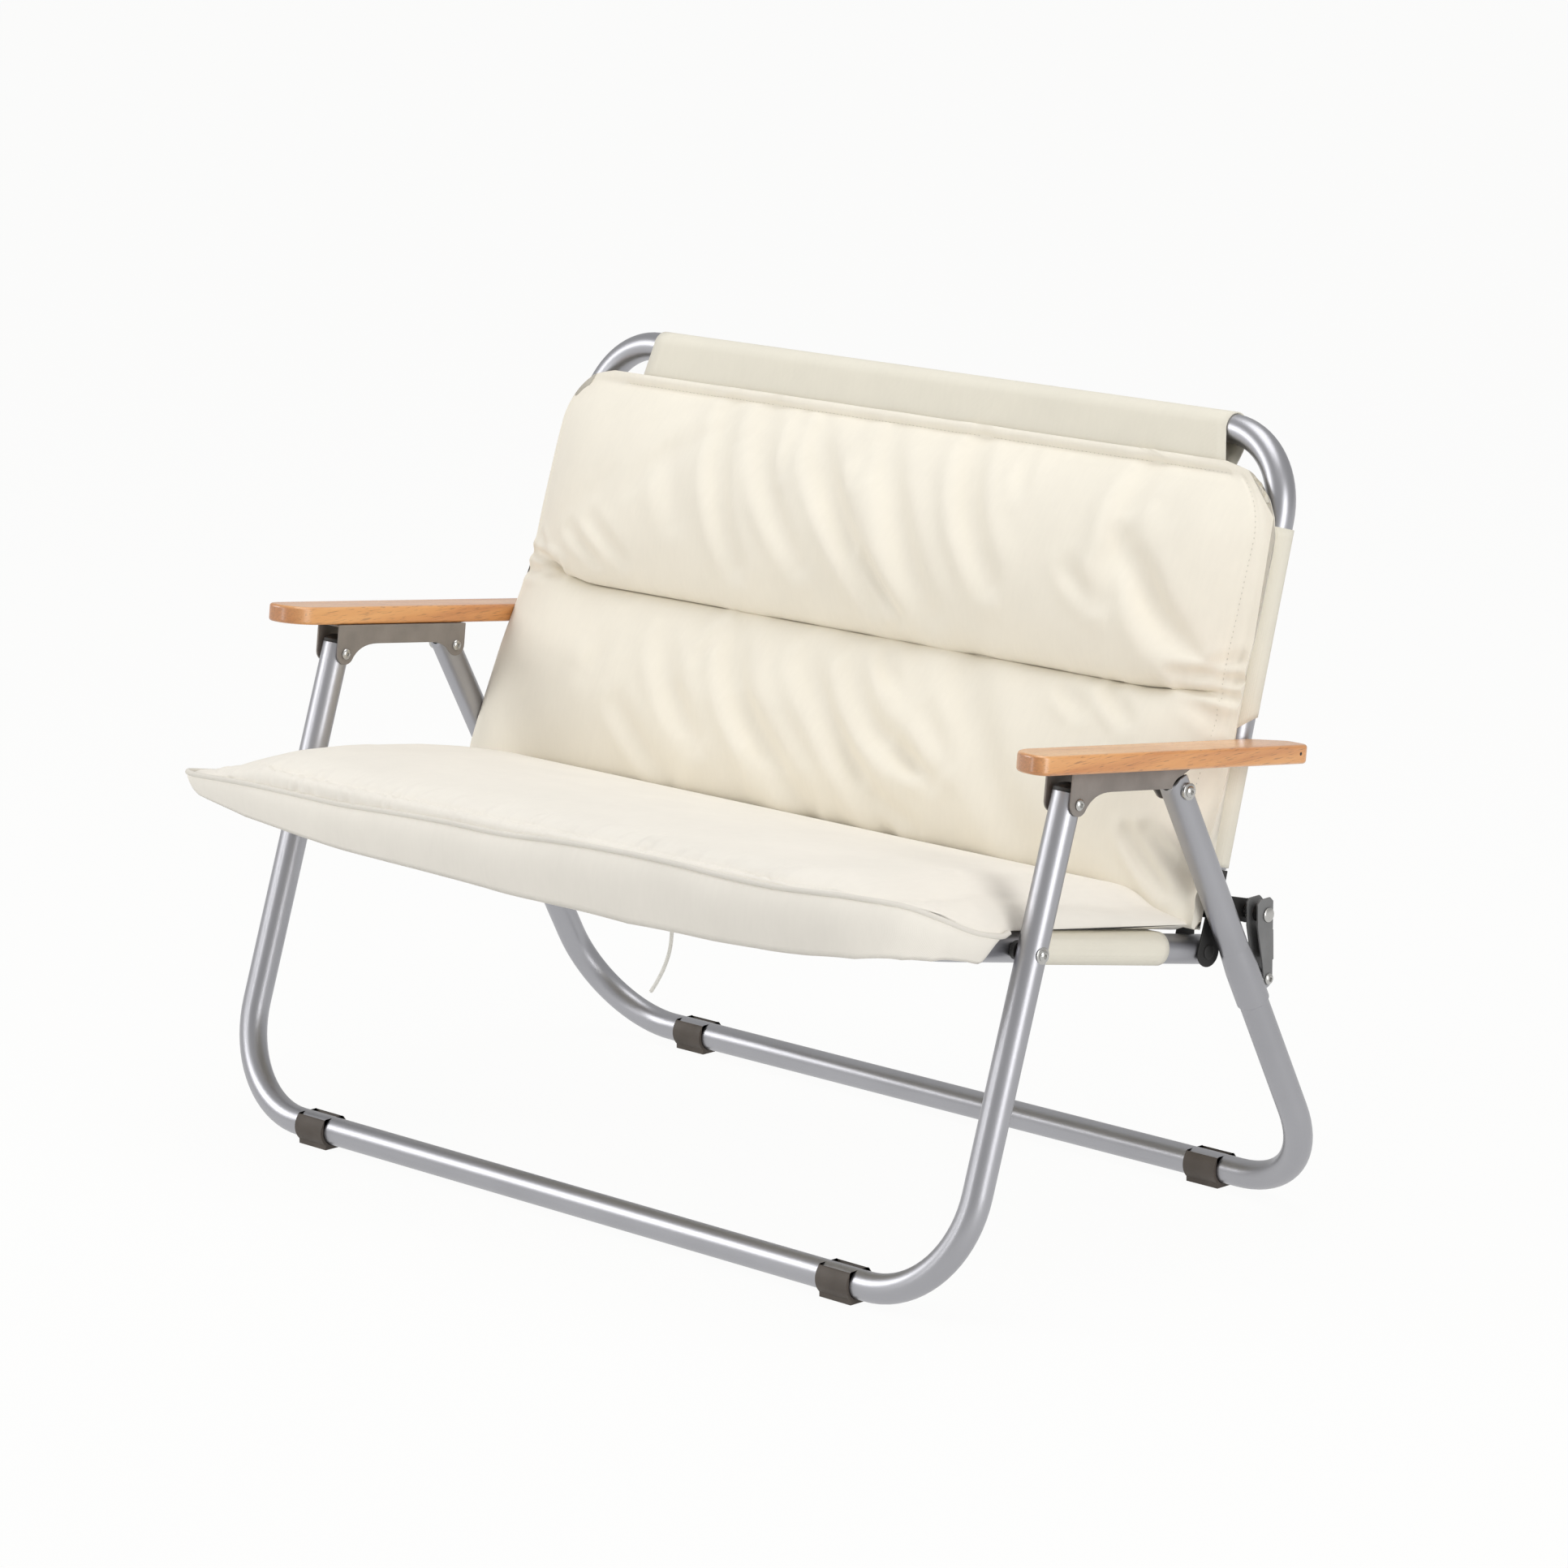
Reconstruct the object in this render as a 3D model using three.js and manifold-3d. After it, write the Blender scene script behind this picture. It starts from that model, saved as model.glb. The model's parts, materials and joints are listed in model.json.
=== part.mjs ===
// Folding camping loveseat: bent tube frames, wooden arms, padded seat and back.
// Millimetres, +Z up, the sitter faces -Y, +X is to the right seen from the front.
import * as THREE from 'three';
import { mergeVertices } from 'three/addons/utils/BufferGeometryUtils.js';
import Module from 'manifold-3d';

const wasm = await Module();
wasm.setup();

// Tubes and fits
const TUBE_RADIUS = 14;
const TUBE_SIDES = 16;
const BEND_STEPS = 7;
const CLEARANCE = 0.3;
const ROUND_SIDES = 16;

// Layout of the pivots, as [y, z] seen from the side
const ARM_FRONT_PIVOT = new THREE.Vector2(-127, 458);
const ARM_REAR_PIVOT = new THREE.Vector2(21, 446);
const FRONT_BAR_Y = -274;
const REAR_BAR_Y = 236;
const LEG_X = 500;
const RAIL_GAP = 6;

// Legs
const LEG_BEND = 105;
const LEG_TOP = 9;
const PLUG_DOME = 3.5;
const PLUG_TAPER = 0.8;
const PLUG_WALL = 2;

// Feet
const FOOT_WALL = 3.2;
const FOOT_LENGTH = 40;
const FOOT_HALF_DEPTH = 12;
const FOOT_HEIGHT = 9;
const FOOT_MOUTH = 11;
const FRONT_FOOT_INSET = 135;
const REAR_FOOT_INSET = 143;

// Armrests and their brackets
const ARM_TILT = THREE.MathUtils.degToRad(7.2);
const ARM_SEAT_HEIGHT = 23;
const ARM_WIDTH = 48;
const ARM_THICKNESS = 18;
const ARM_INSET = 16;
const ARM_FRONT_REACH = 219;
const ARM_REAR_REACH = 147;
const ARM_NOSE_CUT = 15;
const ARM_TAIL_CUT = 20;
const ARM_EDGE = 3;
const SHEET = 2.2;
const CHANNEL_GAP = 0.6;
const EAR_RADIUS = 11;
const EAR_LEAN = THREE.MathUtils.degToRad(40);
const ARCH_HEIGHT = 3.5;
const ARCH_REAR = 36;
const ARCH_FRONT = 42;

// Bolts and pins
const BOLT_RADIUS = 4;
const HEAD_RADIUS = 7;
const HEAD_HEIGHT = 2.4;
const HEAD_CROWN = 0.7;
const RIVET_HEIGHT = 1.2;
const SPACER_RADIUS = 9;
const SEAT_BOLT_DOWN = 138;

// Links between rear legs and back
const COLLAR_WALL = 1.4;
const COLLAR_LENGTH = 66;
const COLLAR_BELOW = 12;
const LUG_HALF_WIDTH = 5;
const LUG_RADIUS = 9;
const LINK_FOOT_DOWN = 233;
const LINK_FOOT_BACK = 20;
const LINK_LENGTH = 61.5;
const LINK_LEAN = THREE.MathUtils.degToRad(1.3);
const LINK_FOOT_RADIUS = 6;
const LINK_HEAD_FRONT = 14;
const LINK_HEAD_BACK = 8;
const LINK_HEAD_UP = 16;
const LINK_HEAD_DOWN = 10;
const LINK_CHAMFER = 4;
const LINK_PIN_HEAD = 5.5;
const LINK_BUSH_RADIUS = 8;
const LINK_WEB_FROM = 17;
const LINK_WEB_TO = 46;

// Back frame and its hinge brackets
const BACK_RECLINE = THREE.MathUtils.degToRad(16);
const BACK_HEIGHT = 482;
const BACK_BEND = 78;
const BACK_TUBE_START = 77;
const LINK_PIN_UP = 43.7;
const LINK_PIN_BACK = 43.6;
const HINGE_SHEET = 2;
const HINGE_RADIUS = 14.5;
const HINGE_LUG_RADIUS = 10;
const HINGE_BLOCK_FROM = 62;
const HINGE_BLOCK_FRONT = 6;
const HINGE_WEB_FROM = 30;
const SPIGOT_RADIUS = 11;
const SPIGOT_LENGTH = 34;

// Seat frame
const SEAT_FRONT_REACH = 158;
const SEAT_BEND = 90;
const RAIL_TAIL = 11;

// Cloth
const CLOTH = 1.5;
const PANEL_FRONT = 15.5;
const PANEL_THICKNESS = 3;
const PANEL_START = 79;
const PANEL_NECK = 55;
const PANEL_SHOULDER = 122;
const SLING_START = 76;
const SLING_LAP = 8;
const RAIL_SLEEVE_FROM = 55;
const RAIL_SLEEVE_TO = 242;
const SLEEVE_LOW_FROM = 79;
const SLEEVE_LOW_TO = 166;
const SLEEVE_HIGH_FROM = 212;
const SLEEVE_HIGH_DROP = 85;

// Cushions
const CUSHION_SLICES = 26;
const CUSHION_SKIN = 0.4;
const SEAM_HALF = 1.2;
const SEAT_LEG_GAP = 8;
const HOOD_OVER_RAIL = 24;
const HOOD_FLARE = 14;
const SEAT_WAIST = 4;
const SEAT_CORNER = 55;
const SEAT_OVERHANG = 36;
const SEAT_REAR = 35;
const SEAT_SEAM = 14;
const SEAT_PIPING = 31;
const SEAT_CROWN = 66;
const SEAT_TUCK = 6;
const SEAT_SHOULDER = 19;
const SEAT_ROUNDING = 40;
const SEAT_EASE = 8;
const SEAT_CREST = 65;
const SEAT_NOSE = 17;
const SEAT_LIP = 28;
const SEAT_UNDERCUT = 16;
const SEAT_SIDE_POWER = 6;
const SEAT_SECTION_POINTS = 26;
const BACK_OVER_TUBE = 16;
const BACK_WAIST = 4;
const BACK_CORNER = 60;
const BACK_PAD_DROP = 41;
const BACK_PAD_BOTTOM = 40;
const BACK_SEAM = 20;
const BACK_CHANNEL = 233;
const BACK_CHANNEL_DEPTH = 27;
const BACK_CHANNEL_HALF = 17;
const BACK_LOW_CROWN = 68;
const BACK_HIGH_CROWN = 62;
const BACK_TUCK = 8;
const BACK_SHOULDER = 22;
const BACK_ROUNDING = 60;
const BACK_TAPER = 90;
const BACK_FLANGE = 12;
const BACK_SIDE_POWER = 8;
const BACK_SECTION_POINTS = 31;

// Tie cord, hanging from the sling: [x, y, z] from its upper end
const CORD_RADIUS = 1.8;
const CORD_SIDES = 8;
const CORD_STEPS = 18;
const CORD_X = 166;
const CORD_BEHIND_BAR = 27;
const CORD_ROUTE = [
  [0, 0, 0], [0, 0, -8], [0.4, 0, -16], [1, 0, -24], [1.6, 0, -32],
  [2, 0, -40], [2, 0, -48], [1.4, 0, -56], [0, 0, -64], [-2.4, 0, -72],
  [-5.8, 0, -80], [-10, 0, -88], [-15, 0, -96], [-20.6, 0, -104], [-27, 0, -112],
];

// Colours from the photograph
const ALUMINIUM = { color: 0xb9b9bd, roughness: 0.38, metalness: 1 };
const BRACKET = { color: 0x8b8279, roughness: 0.5, metalness: 0.3 };
const LINK_GREY = { color: 0x6f6f6f, roughness: 0.5, metalness: 0.3 };
const BLACK = { color: 0x1d1c1b, roughness: 0.6, metalness: 0 };
const FOOT_TAUPE = { color: 0x5a524b, roughness: 0.65, metalness: 0 };
const STEEL = { color: 0xc4c3c0, roughness: 0.3, metalness: 1 };
const WOOD = { color: 0xd79a5e, roughness: 0.5, metalness: 0 };
const CREAM = { color: 0xeee9d9, roughness: 0.9, metalness: 0 };
const CANVAS = { color: 0xddd6c3, roughness: 0.95, metalness: 0 };
const CORD_WHITE = { color: 0xf0efec, roughness: 0.8, metalness: 0 };

// Derived places
const RAIL_X = LEG_X - 2 * TUBE_RADIUS - RAIL_GAP;
const ARM_INNER_X = LEG_X - ARM_INSET;
const FRONT_FOOT_X = LEG_X - FRONT_FOOT_INSET;
const REAR_FOOT_X = LEG_X - REAR_FOOT_INSET;
const BAR_Z = FOOT_WALL + CLEARANCE + TUBE_RADIUS;
const SLEEVE_INNER = TUBE_RADIUS + CLEARANCE;
const SLEEVE_OUTER = SLEEVE_INNER + CLOTH;
const BOLT_HOLE = BOLT_RADIUS + CLEARANCE;
const CHANNEL_INNER = TUBE_RADIUS + CHANNEL_GAP;
const CHANNEL_OUTER = CHANNEL_INNER + SHEET;
const CHEEK_INNER = LUG_HALF_WIDTH + CLEARANCE;
const CHEEK_OUTER = CHEEK_INNER + SHEET;
const HINGE_INNER = TUBE_RADIUS + CLEARANCE;
const HINGE_OUTER = HINGE_INNER + HINGE_SHEET;
const TOP_TUNNEL_HALF = RAIL_X - BACK_BEND;
const FRONT_TUNNEL_HALF = RAIL_X - SEAT_BEND;
const PANEL_BACK = PANEL_FRONT - PANEL_THICKNESS;
const PANEL_HALF = RAIL_X - Math.sqrt(SLEEVE_OUTER ** 2 - PANEL_BACK ** 2) - CLEARANCE;
const CUSHION_BASE = SLEEVE_OUTER + CUSHION_SKIN;
const SLEEVE_HIGH_TO = BACK_HEIGHT - SLEEVE_HIGH_DROP;
const SEAT_HALF_WIDTH = LEG_X - TUBE_RADIUS - SEAT_LEG_GAP;
const HOOD_HALF_WIDTH = RAIL_X + HOOD_OVER_RAIL;
const BACK_HALF_WIDTH = RAIL_X + BACK_OVER_TUBE;
const BACK_PAD_TOP = BACK_HEIGHT - BACK_PAD_DROP;

const frontBar = new THREE.Vector2(FRONT_BAR_Y, BAR_Z);
const rearBar = new THREE.Vector2(REAR_BAR_Y, BAR_Z);
const frontUp = ARM_FRONT_PIVOT.clone().sub(frontBar).normalize();
const rearUp = ARM_REAR_PIVOT.clone().sub(rearBar).normalize();
const rearBehind = new THREE.Vector2(rearUp.y, -rearUp.x);
const FRONT_LEG = ARM_FRONT_PIVOT.distanceTo(frontBar);
const REAR_LEG = ARM_REAR_PIVOT.distanceTo(rearBar);
const linkUp = new THREE.Vector2(-Math.sin(LINK_LEAN), Math.cos(LINK_LEAN));
const backUp = new THREE.Vector2(Math.sin(BACK_RECLINE), Math.cos(BACK_RECLINE));
const backBehind = new THREE.Vector2(backUp.y, -backUp.x);
const seatPivot = ARM_FRONT_PIVOT.clone().addScaledVector(frontUp, -SEAT_BOLT_DOWN);
const linkFoot = ARM_REAR_PIVOT.clone()
  .addScaledVector(rearUp, -LINK_FOOT_DOWN)
  .addScaledVector(rearBehind, LINK_FOOT_BACK);
const linkTop = linkFoot.clone().addScaledVector(linkUp, LINK_LENGTH);
const hinge = linkTop.clone()
  .addScaledVector(backUp, -LINK_PIN_UP)
  .addScaledVector(backBehind, -LINK_PIN_BACK);
const SEAT_PIVOT_AT = seatPivot.distanceTo(hinge);
const SEAT_BAR = SEAT_PIVOT_AT + SEAT_FRONT_REACH;
const SEAT_FRONT = SEAT_BAR + SEAT_OVERHANG;
const seatForward = seatPivot.clone().sub(hinge).normalize();

// One group for each body, with +Z along its tubes or +Y rearwards along the rails
const part = new THREE.Group();

function bodyGroup(origin, tilt) {
  const group = new THREE.Group();
  group.position.set(0, origin.x, origin.y);
  group.rotation.x = tilt;
  part.add(group);
  return group;
}

function tiltOf(up) {
  return -Math.atan2(up.x, up.y);
}

const rearBody = bodyGroup(ARM_REAR_PIVOT, tiltOf(rearUp));
const frontBody = bodyGroup(ARM_FRONT_PIVOT, tiltOf(frontUp));
const armBody = bodyGroup(ARM_REAR_PIVOT, -ARM_TILT);
const linkBody = bodyGroup(linkFoot, tiltOf(linkUp));
const backBody = bodyGroup(hinge, tiltOf(backUp));
const seatBody = bodyGroup(hinge, Math.atan2(-seatForward.y, -seatForward.x));

function addPiece(group, name, geometry, look) {
  const mesh = new THREE.Mesh(geometry, new THREE.MeshStandardMaterial(look));
  mesh.name = name;
  group.add(mesh);
}

function onBothSides(make) {
  make('left', -1);
  make('right', 1);
}

// Solids for joining and cutting
function toSolid(geometry) {
  const bare = geometry.clone();
  bare.deleteAttribute('normal');
  bare.deleteAttribute('uv');
  const merged = mergeVertices(bare);
  const kept = [];
  const index = merged.index.array;
  for (let i = 0; i < index.length; i += 3) {
    const [a, b, c] = index.slice(i, i + 3);
    if (a !== b && b !== c && c !== a) kept.push(a, b, c);
  }
  return new wasm.Manifold(new wasm.Mesh({
    numProp: 3,
    vertProperties: new Float32Array(merged.attributes.position.array),
    triVerts: new Uint32Array(kept),
  }));
}

function toGeometry(solid) {
  const mesh = solid.getMesh();
  const geometry = new THREE.BufferGeometry();
  geometry.setAttribute('position', new THREE.BufferAttribute(mesh.vertProperties, 3));
  geometry.setIndex(new THREE.BufferAttribute(mesh.triVerts, 1));
  geometry.computeVertexNormals();
  return geometry;
}

function joined(...geometries) {
  return toGeometry(geometries.map(toSolid).reduce((all, next) => all.add(next)));
}

function without(geometry, ...cutters) {
  return toGeometry(cutters.map(toSolid).reduce((all, next) => all.subtract(next), toSolid(geometry)));
}

// A path that steps from knot to knot, so straight runs take no extra rings
class KnotPath extends THREE.Curve {
  constructor(points, tangents) {
    super();
    this.points = points;
    this.tangents = tangents;
  }

  knot(u) {
    return Math.round(u * (this.points.length - 1));
  }

  getPointAt(u, target = new THREE.Vector3()) {
    return target.copy(this.points[this.knot(u)]);
  }

  getTangentAt(u, target = new THREE.Vector3()) {
    return target.copy(this.tangents[this.knot(u)]);
  }
}

function bentPath(corners, bend) {
  const points = [];
  const tangents = [];
  corners.forEach((corner, i) => {
    const before = corners[i - 1];
    const after = corners[i + 1];
    const into = before && corner.clone().sub(before).normalize();
    const out = after && after.clone().sub(corner).normalize();
    if (!into || !out) {
      points.push(corner.clone());
      tangents.push((into || out).clone());
      return;
    }
    const turn = into.angleTo(out);
    const start = corner.clone().addScaledVector(into, -bend * Math.tan(turn / 2));
    const axis = into.clone().cross(out).normalize();
    const centre = start.clone().addScaledVector(axis.clone().cross(into), bend);
    for (let step = 0; step <= BEND_STEPS; step += 1) {
      const angle = (turn * step) / BEND_STEPS;
      points.push(start.clone().sub(centre).applyAxisAngle(axis, angle).add(centre));
      tangents.push(into.clone().applyAxisAngle(axis, angle));
    }
  });
  return new KnotPath(points, tangents);
}

function circle(radius, sides = ROUND_SIDES) {
  const corners = Array.from({ length: sides }, (_, i) => {
    const angle = (2 * Math.PI * i) / sides;
    return new THREE.Vector2(radius * Math.cos(angle), radius * Math.sin(angle));
  });
  return new THREE.Shape(corners);
}

function ringShape(inner, outer) {
  const shape = circle(outer, TUBE_SIDES);
  shape.holes.push(circle(inner, TUBE_SIDES));
  return shape;
}

function bentTube(corners, bend, radius = TUBE_RADIUS) {
  const path = bentPath(corners, bend);
  const steps = path.points.length - 1;
  return new THREE.ExtrudeGeometry(circle(radius, TUBE_SIDES), { extrudePath: path, steps });
}

// A side outline in [y, z], thickened from one x to another
const SIDE_VIEW = new THREE.Matrix4().makeBasis(
  new THREE.Vector3(0, 1, 0),
  new THREE.Vector3(0, 0, 1),
  new THREE.Vector3(1, 0, 0),
);

function sidePlate(shape, xFrom, xTo) {
  const depth = xTo - xFrom;
  const plate = new THREE.ExtrudeGeometry(shape, { depth, bevelEnabled: false, curveSegments: 8 });
  return plate.applyMatrix4(SIDE_VIEW).translate(xFrom, 0, 0);
}

function crossRod(radius, xFrom, xTo, y = 0, z = 0) {
  return sidePlate(circle(radius), xFrom, xTo).translate(0, y, z);
}

function block(xFrom, xTo, yFrom, yTo, zFrom, zTo) {
  const box = new THREE.BoxGeometry(xTo - xFrom, yTo - yFrom, zTo - zFrom);
  return box.translate((xFrom + xTo) / 2, (yFrom + yTo) / 2, (zFrom + zTo) / 2);
}

// The outline round several circles of [y, z, radius], as a tight band would lie
function bandShape(circles) {
  const points = circles.flatMap(([y, z, radius]) => (
    circle(radius, 2 * ROUND_SIDES).getPoints().map((p) => new THREE.Vector2(p.x + y, p.y + z))
  ));
  points.sort((a, b) => a.x - b.x || a.y - b.y);
  const turnsLeft = (a, b, c) => (b.x - a.x) * (c.y - a.y) - (b.y - a.y) * (c.x - a.x) > 1e-9;
  const chain = (list) => list.reduce((kept, point) => {
    while (kept.length > 1 && !turnsLeft(kept.at(-2), kept.at(-1), point)) kept.pop();
    return [...kept, point];
  }, []);
  const lower = chain(points);
  const upper = chain([...points].reverse());
  return new THREE.Shape([...lower.slice(0, -1), ...upper.slice(0, -1)]);
}

// A turned piece on the x axis, from a profile of [radius, x]
function turned(profile, side, xCentre = 0) {
  const points = profile.map(([radius, x]) => new THREE.Vector2(radius, x - xCentre));
  const lathe = new THREE.LatheGeometry(points, ROUND_SIDES).rotateZ(-Math.PI / 2);
  return side < 0 ? lathe.rotateZ(Math.PI).translate(-xCentre, 0, 0) : lathe.translate(xCentre, 0, 0);
}

// Bolt through x, with a domed head outside and a flat nut inside
function boltProfile(nutFrom, nutTo, headFrom, headHeight = HEAD_HEIGHT, headRadius = HEAD_RADIUS) {
  const headTop = headFrom + headHeight;
  return [
    [0, nutFrom], [headRadius, nutFrom], [headRadius, nutTo], [BOLT_RADIUS, nutTo],
    [BOLT_RADIUS, headFrom], [headRadius, headFrom], [headRadius, headFrom + headHeight / 2],
    [headRadius * HEAD_CROWN, headTop], [0, headTop],
  ];
}

function sleeve(from, to) {
  const shape = ringShape(SLEEVE_INNER, SLEEVE_OUTER);
  return new THREE.ExtrudeGeometry(shape, { depth: to - from, bevelEnabled: false }).translate(0, 0, from);
}

// Legs
function legFrame(drop) {
  return bentTube([
    new THREE.Vector3(-LEG_X, 0, LEG_TOP),
    new THREE.Vector3(-LEG_X, 0, -drop),
    new THREE.Vector3(LEG_X, 0, -drop),
    new THREE.Vector3(LEG_X, 0, LEG_TOP),
  ], LEG_BEND);
}

const PLUG_BORE = TUBE_RADIUS - PLUG_WALL;
const fullWidthHole = (z) => crossRod(BOLT_HOLE, -LEG_X - 2 * TUBE_RADIUS, LEG_X + 2 * TUBE_RADIUS, 0, z);

function plugHole(side) {
  const hole = new THREE.CylinderGeometry(PLUG_BORE, PLUG_BORE, TUBE_RADIUS, ROUND_SIDES);
  const depth = LEG_TOP - BOLT_HOLE - PLUG_WALL;
  return hole.rotateX(Math.PI / 2).translate(side * LEG_X, 0, LEG_TOP - depth + TUBE_RADIUS / 2);
}

function addPlugs(group, name) {
  const depth = LEG_TOP - BOLT_HOLE - PLUG_WALL - CLEARANCE;
  const profile = [
    [0, -depth], [PLUG_BORE - CLEARANCE, -depth], [PLUG_BORE - CLEARANCE, CLEARANCE],
    [TUBE_RADIUS, CLEARANCE], [TUBE_RADIUS * PLUG_TAPER, PLUG_DOME], [0, PLUG_DOME],
  ].map(([radius, z]) => new THREE.Vector2(radius, z));
  onBothSides((label, side) => {
    const plug = new THREE.LatheGeometry(profile, ROUND_SIDES).rotateX(Math.PI / 2);
    addPiece(group, `${name}_${label}`, plug.translate(side * LEG_X, 0, LEG_TOP), BLACK);
  });
}

const legHoles = [fullWidthHole(0), plugHole(-1), plugHole(1)];
const frontTube = without(legFrame(FRONT_LEG), ...legHoles, fullWidthHole(-SEAT_BOLT_DOWN));
addPiece(frontBody, 'front_frame', frontTube, ALUMINIUM);
addPiece(rearBody, 'rear_frame', without(legFrame(REAR_LEG), ...legHoles), ALUMINIUM);
addPlugs(frontBody, 'front_leg_plug');
addPlugs(rearBody, 'rear_leg_plug');

// Feet stand level, so each is turned back from its leg's tilt
function footSolid() {
  const half = FOOT_LENGTH / 2;
  const inner = TUBE_RADIUS + CLEARANCE;
  const outer = inner + FOOT_WALL;
  const saddle = joined(
    crossRod(outer, -half, half),
    block(-half, half, -FOOT_HALF_DEPTH, FOOT_HALF_DEPTH, -BAR_Z, FOOT_HEIGHT - BAR_Z),
  );
  const floorCut = block(-FOOT_LENGTH, FOOT_LENGTH, -2 * outer, 2 * outer, -2 * outer - BAR_Z, -BAR_Z);
  const mouth = block(-FOOT_LENGTH, FOOT_LENGTH, -FOOT_MOUTH, FOOT_MOUTH, 0, 2 * outer);
  return without(saddle, crossRod(inner, -FOOT_LENGTH, FOOT_LENGTH), mouth, floorCut);
}

function addFeet(group, name, footX, drop) {
  const levelGroup = new THREE.Group();
  levelGroup.position.set(0, 0, -drop);
  levelGroup.rotation.x = -group.rotation.x;
  group.add(levelGroup);
  onBothSides((label, side) => {
    addPiece(levelGroup, `${name}_${label}`, footSolid().translate(side * footX, 0, 0), FOOT_TAUPE);
  });
}

addFeet(frontBody, 'front_foot', FRONT_FOOT_X, FRONT_LEG);
addFeet(rearBody, 'rear_foot', REAR_FOOT_X, REAR_LEG);

// Armrests, in the arm's own frame: y runs rearwards from the rear pivot
const frontPivotInArm = ARM_FRONT_PIVOT.clone().sub(ARM_REAR_PIVOT)
  .rotateAround(new THREE.Vector2(), ARM_TILT);

function armBoard(side) {
  const inner = side * ARM_INNER_X;
  const outer = side * (ARM_INNER_X + ARM_WIDTH);
  const [left, right] = [Math.min(inner, outer) + ARM_EDGE, Math.max(inner, outer) - ARM_EDGE];
  const front = -ARM_FRONT_REACH + ARM_EDGE;
  const rear = ARM_REAR_REACH - ARM_EDGE;
  const outline = new THREE.Shape();
  outline.moveTo(left + ARM_NOSE_CUT, front);
  outline.lineTo(right - ARM_NOSE_CUT, front);
  outline.quadraticCurveTo(right, front, right, front + ARM_NOSE_CUT);
  outline.lineTo(right, rear - ARM_TAIL_CUT);
  outline.quadraticCurveTo(right, rear, right - ARM_TAIL_CUT, rear);
  outline.lineTo(left + ARM_TAIL_CUT, rear);
  outline.quadraticCurveTo(left, rear, left, rear - ARM_TAIL_CUT);
  outline.lineTo(left, front + ARM_NOSE_CUT);
  outline.quadraticCurveTo(left, front, left + ARM_NOSE_CUT, front);
  const board = new THREE.ExtrudeGeometry(outline, {
    depth: ARM_THICKNESS - 2 * ARM_EDGE,
    bevelThickness: ARM_EDGE,
    bevelSize: ARM_EDGE,
    bevelSegments: 2,
    curveSegments: 4,
  });
  return board.translate(0, 0, ARM_SEAT_HEIGHT + ARM_EDGE);
}

function bracketOutline() {
  const { x: frontY, y: frontZ } = frontPivotInArm;
  const top = ARM_SEAT_HEIGHT - CLEARANCE;
  const [c, s] = [EAR_RADIUS * Math.cos(EAR_LEAN), EAR_RADIUS * Math.sin(EAR_LEAN)];
  const outline = new THREE.Shape();
  outline.moveTo(EAR_RADIUS, top);
  outline.lineTo(EAR_RADIUS, 0);
  outline.absarc(0, 0, EAR_RADIUS, 0, EAR_LEAN - Math.PI, true);
  outline.quadraticCurveTo(-2 * c, ARCH_HEIGHT, -ARCH_REAR, ARCH_HEIGHT);
  outline.lineTo(frontY + ARCH_FRONT, ARCH_HEIGHT);
  outline.quadraticCurveTo(frontY + 2 * c, ARCH_HEIGHT, frontY + c, frontZ - s);
  outline.absarc(frontY, frontZ, EAR_RADIUS, -EAR_LEAN, -Math.PI, true);
  outline.lineTo(frontY - EAR_RADIUS, top);
  return outline;
}

function armBracket(side) {
  const middle = side * LEG_X;
  const outline = bracketOutline();
  const { x: frontY, y: frontZ } = frontPivotInArm;
  const top = ARM_SEAT_HEIGHT - CLEARANCE;
  const channel = joined(
    sidePlate(outline, middle - CHANNEL_OUTER, middle - CHANNEL_INNER),
    sidePlate(outline, middle + CHANNEL_INNER, middle + CHANNEL_OUTER),
    block(middle - CHANNEL_OUTER, middle + CHANNEL_OUTER, frontY - EAR_RADIUS, EAR_RADIUS, top - SHEET, top),
  );
  const reach = 2 * CHANNEL_OUTER;
  return without(
    channel,
    crossRod(BOLT_HOLE, middle - reach, middle + reach),
    crossRod(BOLT_HOLE, middle - reach, middle + reach, frontY, frontZ),
  );
}

onBothSides((label, side) => {
  addPiece(armBody, `armrest_${label}`, armBoard(side), WOOD);
  addPiece(armBody, `arm_bracket_${label}`, armBracket(side), BRACKET);
  const headFrom = LEG_X + CHANNEL_OUTER + CLEARANCE;
  const nutTo = LEG_X - CHANNEL_OUTER - CLEARANCE;
  const bolt = () => turned(boltProfile(nutTo - HEAD_HEIGHT, nutTo, headFrom), side, LEG_X);
  const { x: frontY, y: frontZ } = frontPivotInArm;
  addPiece(armBody, `arm_front_bolt_${label}`, bolt().translate(0, frontY, frontZ), STEEL);
  addPiece(armBody, `arm_rear_bolt_${label}`, bolt(), STEEL);
});

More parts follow.
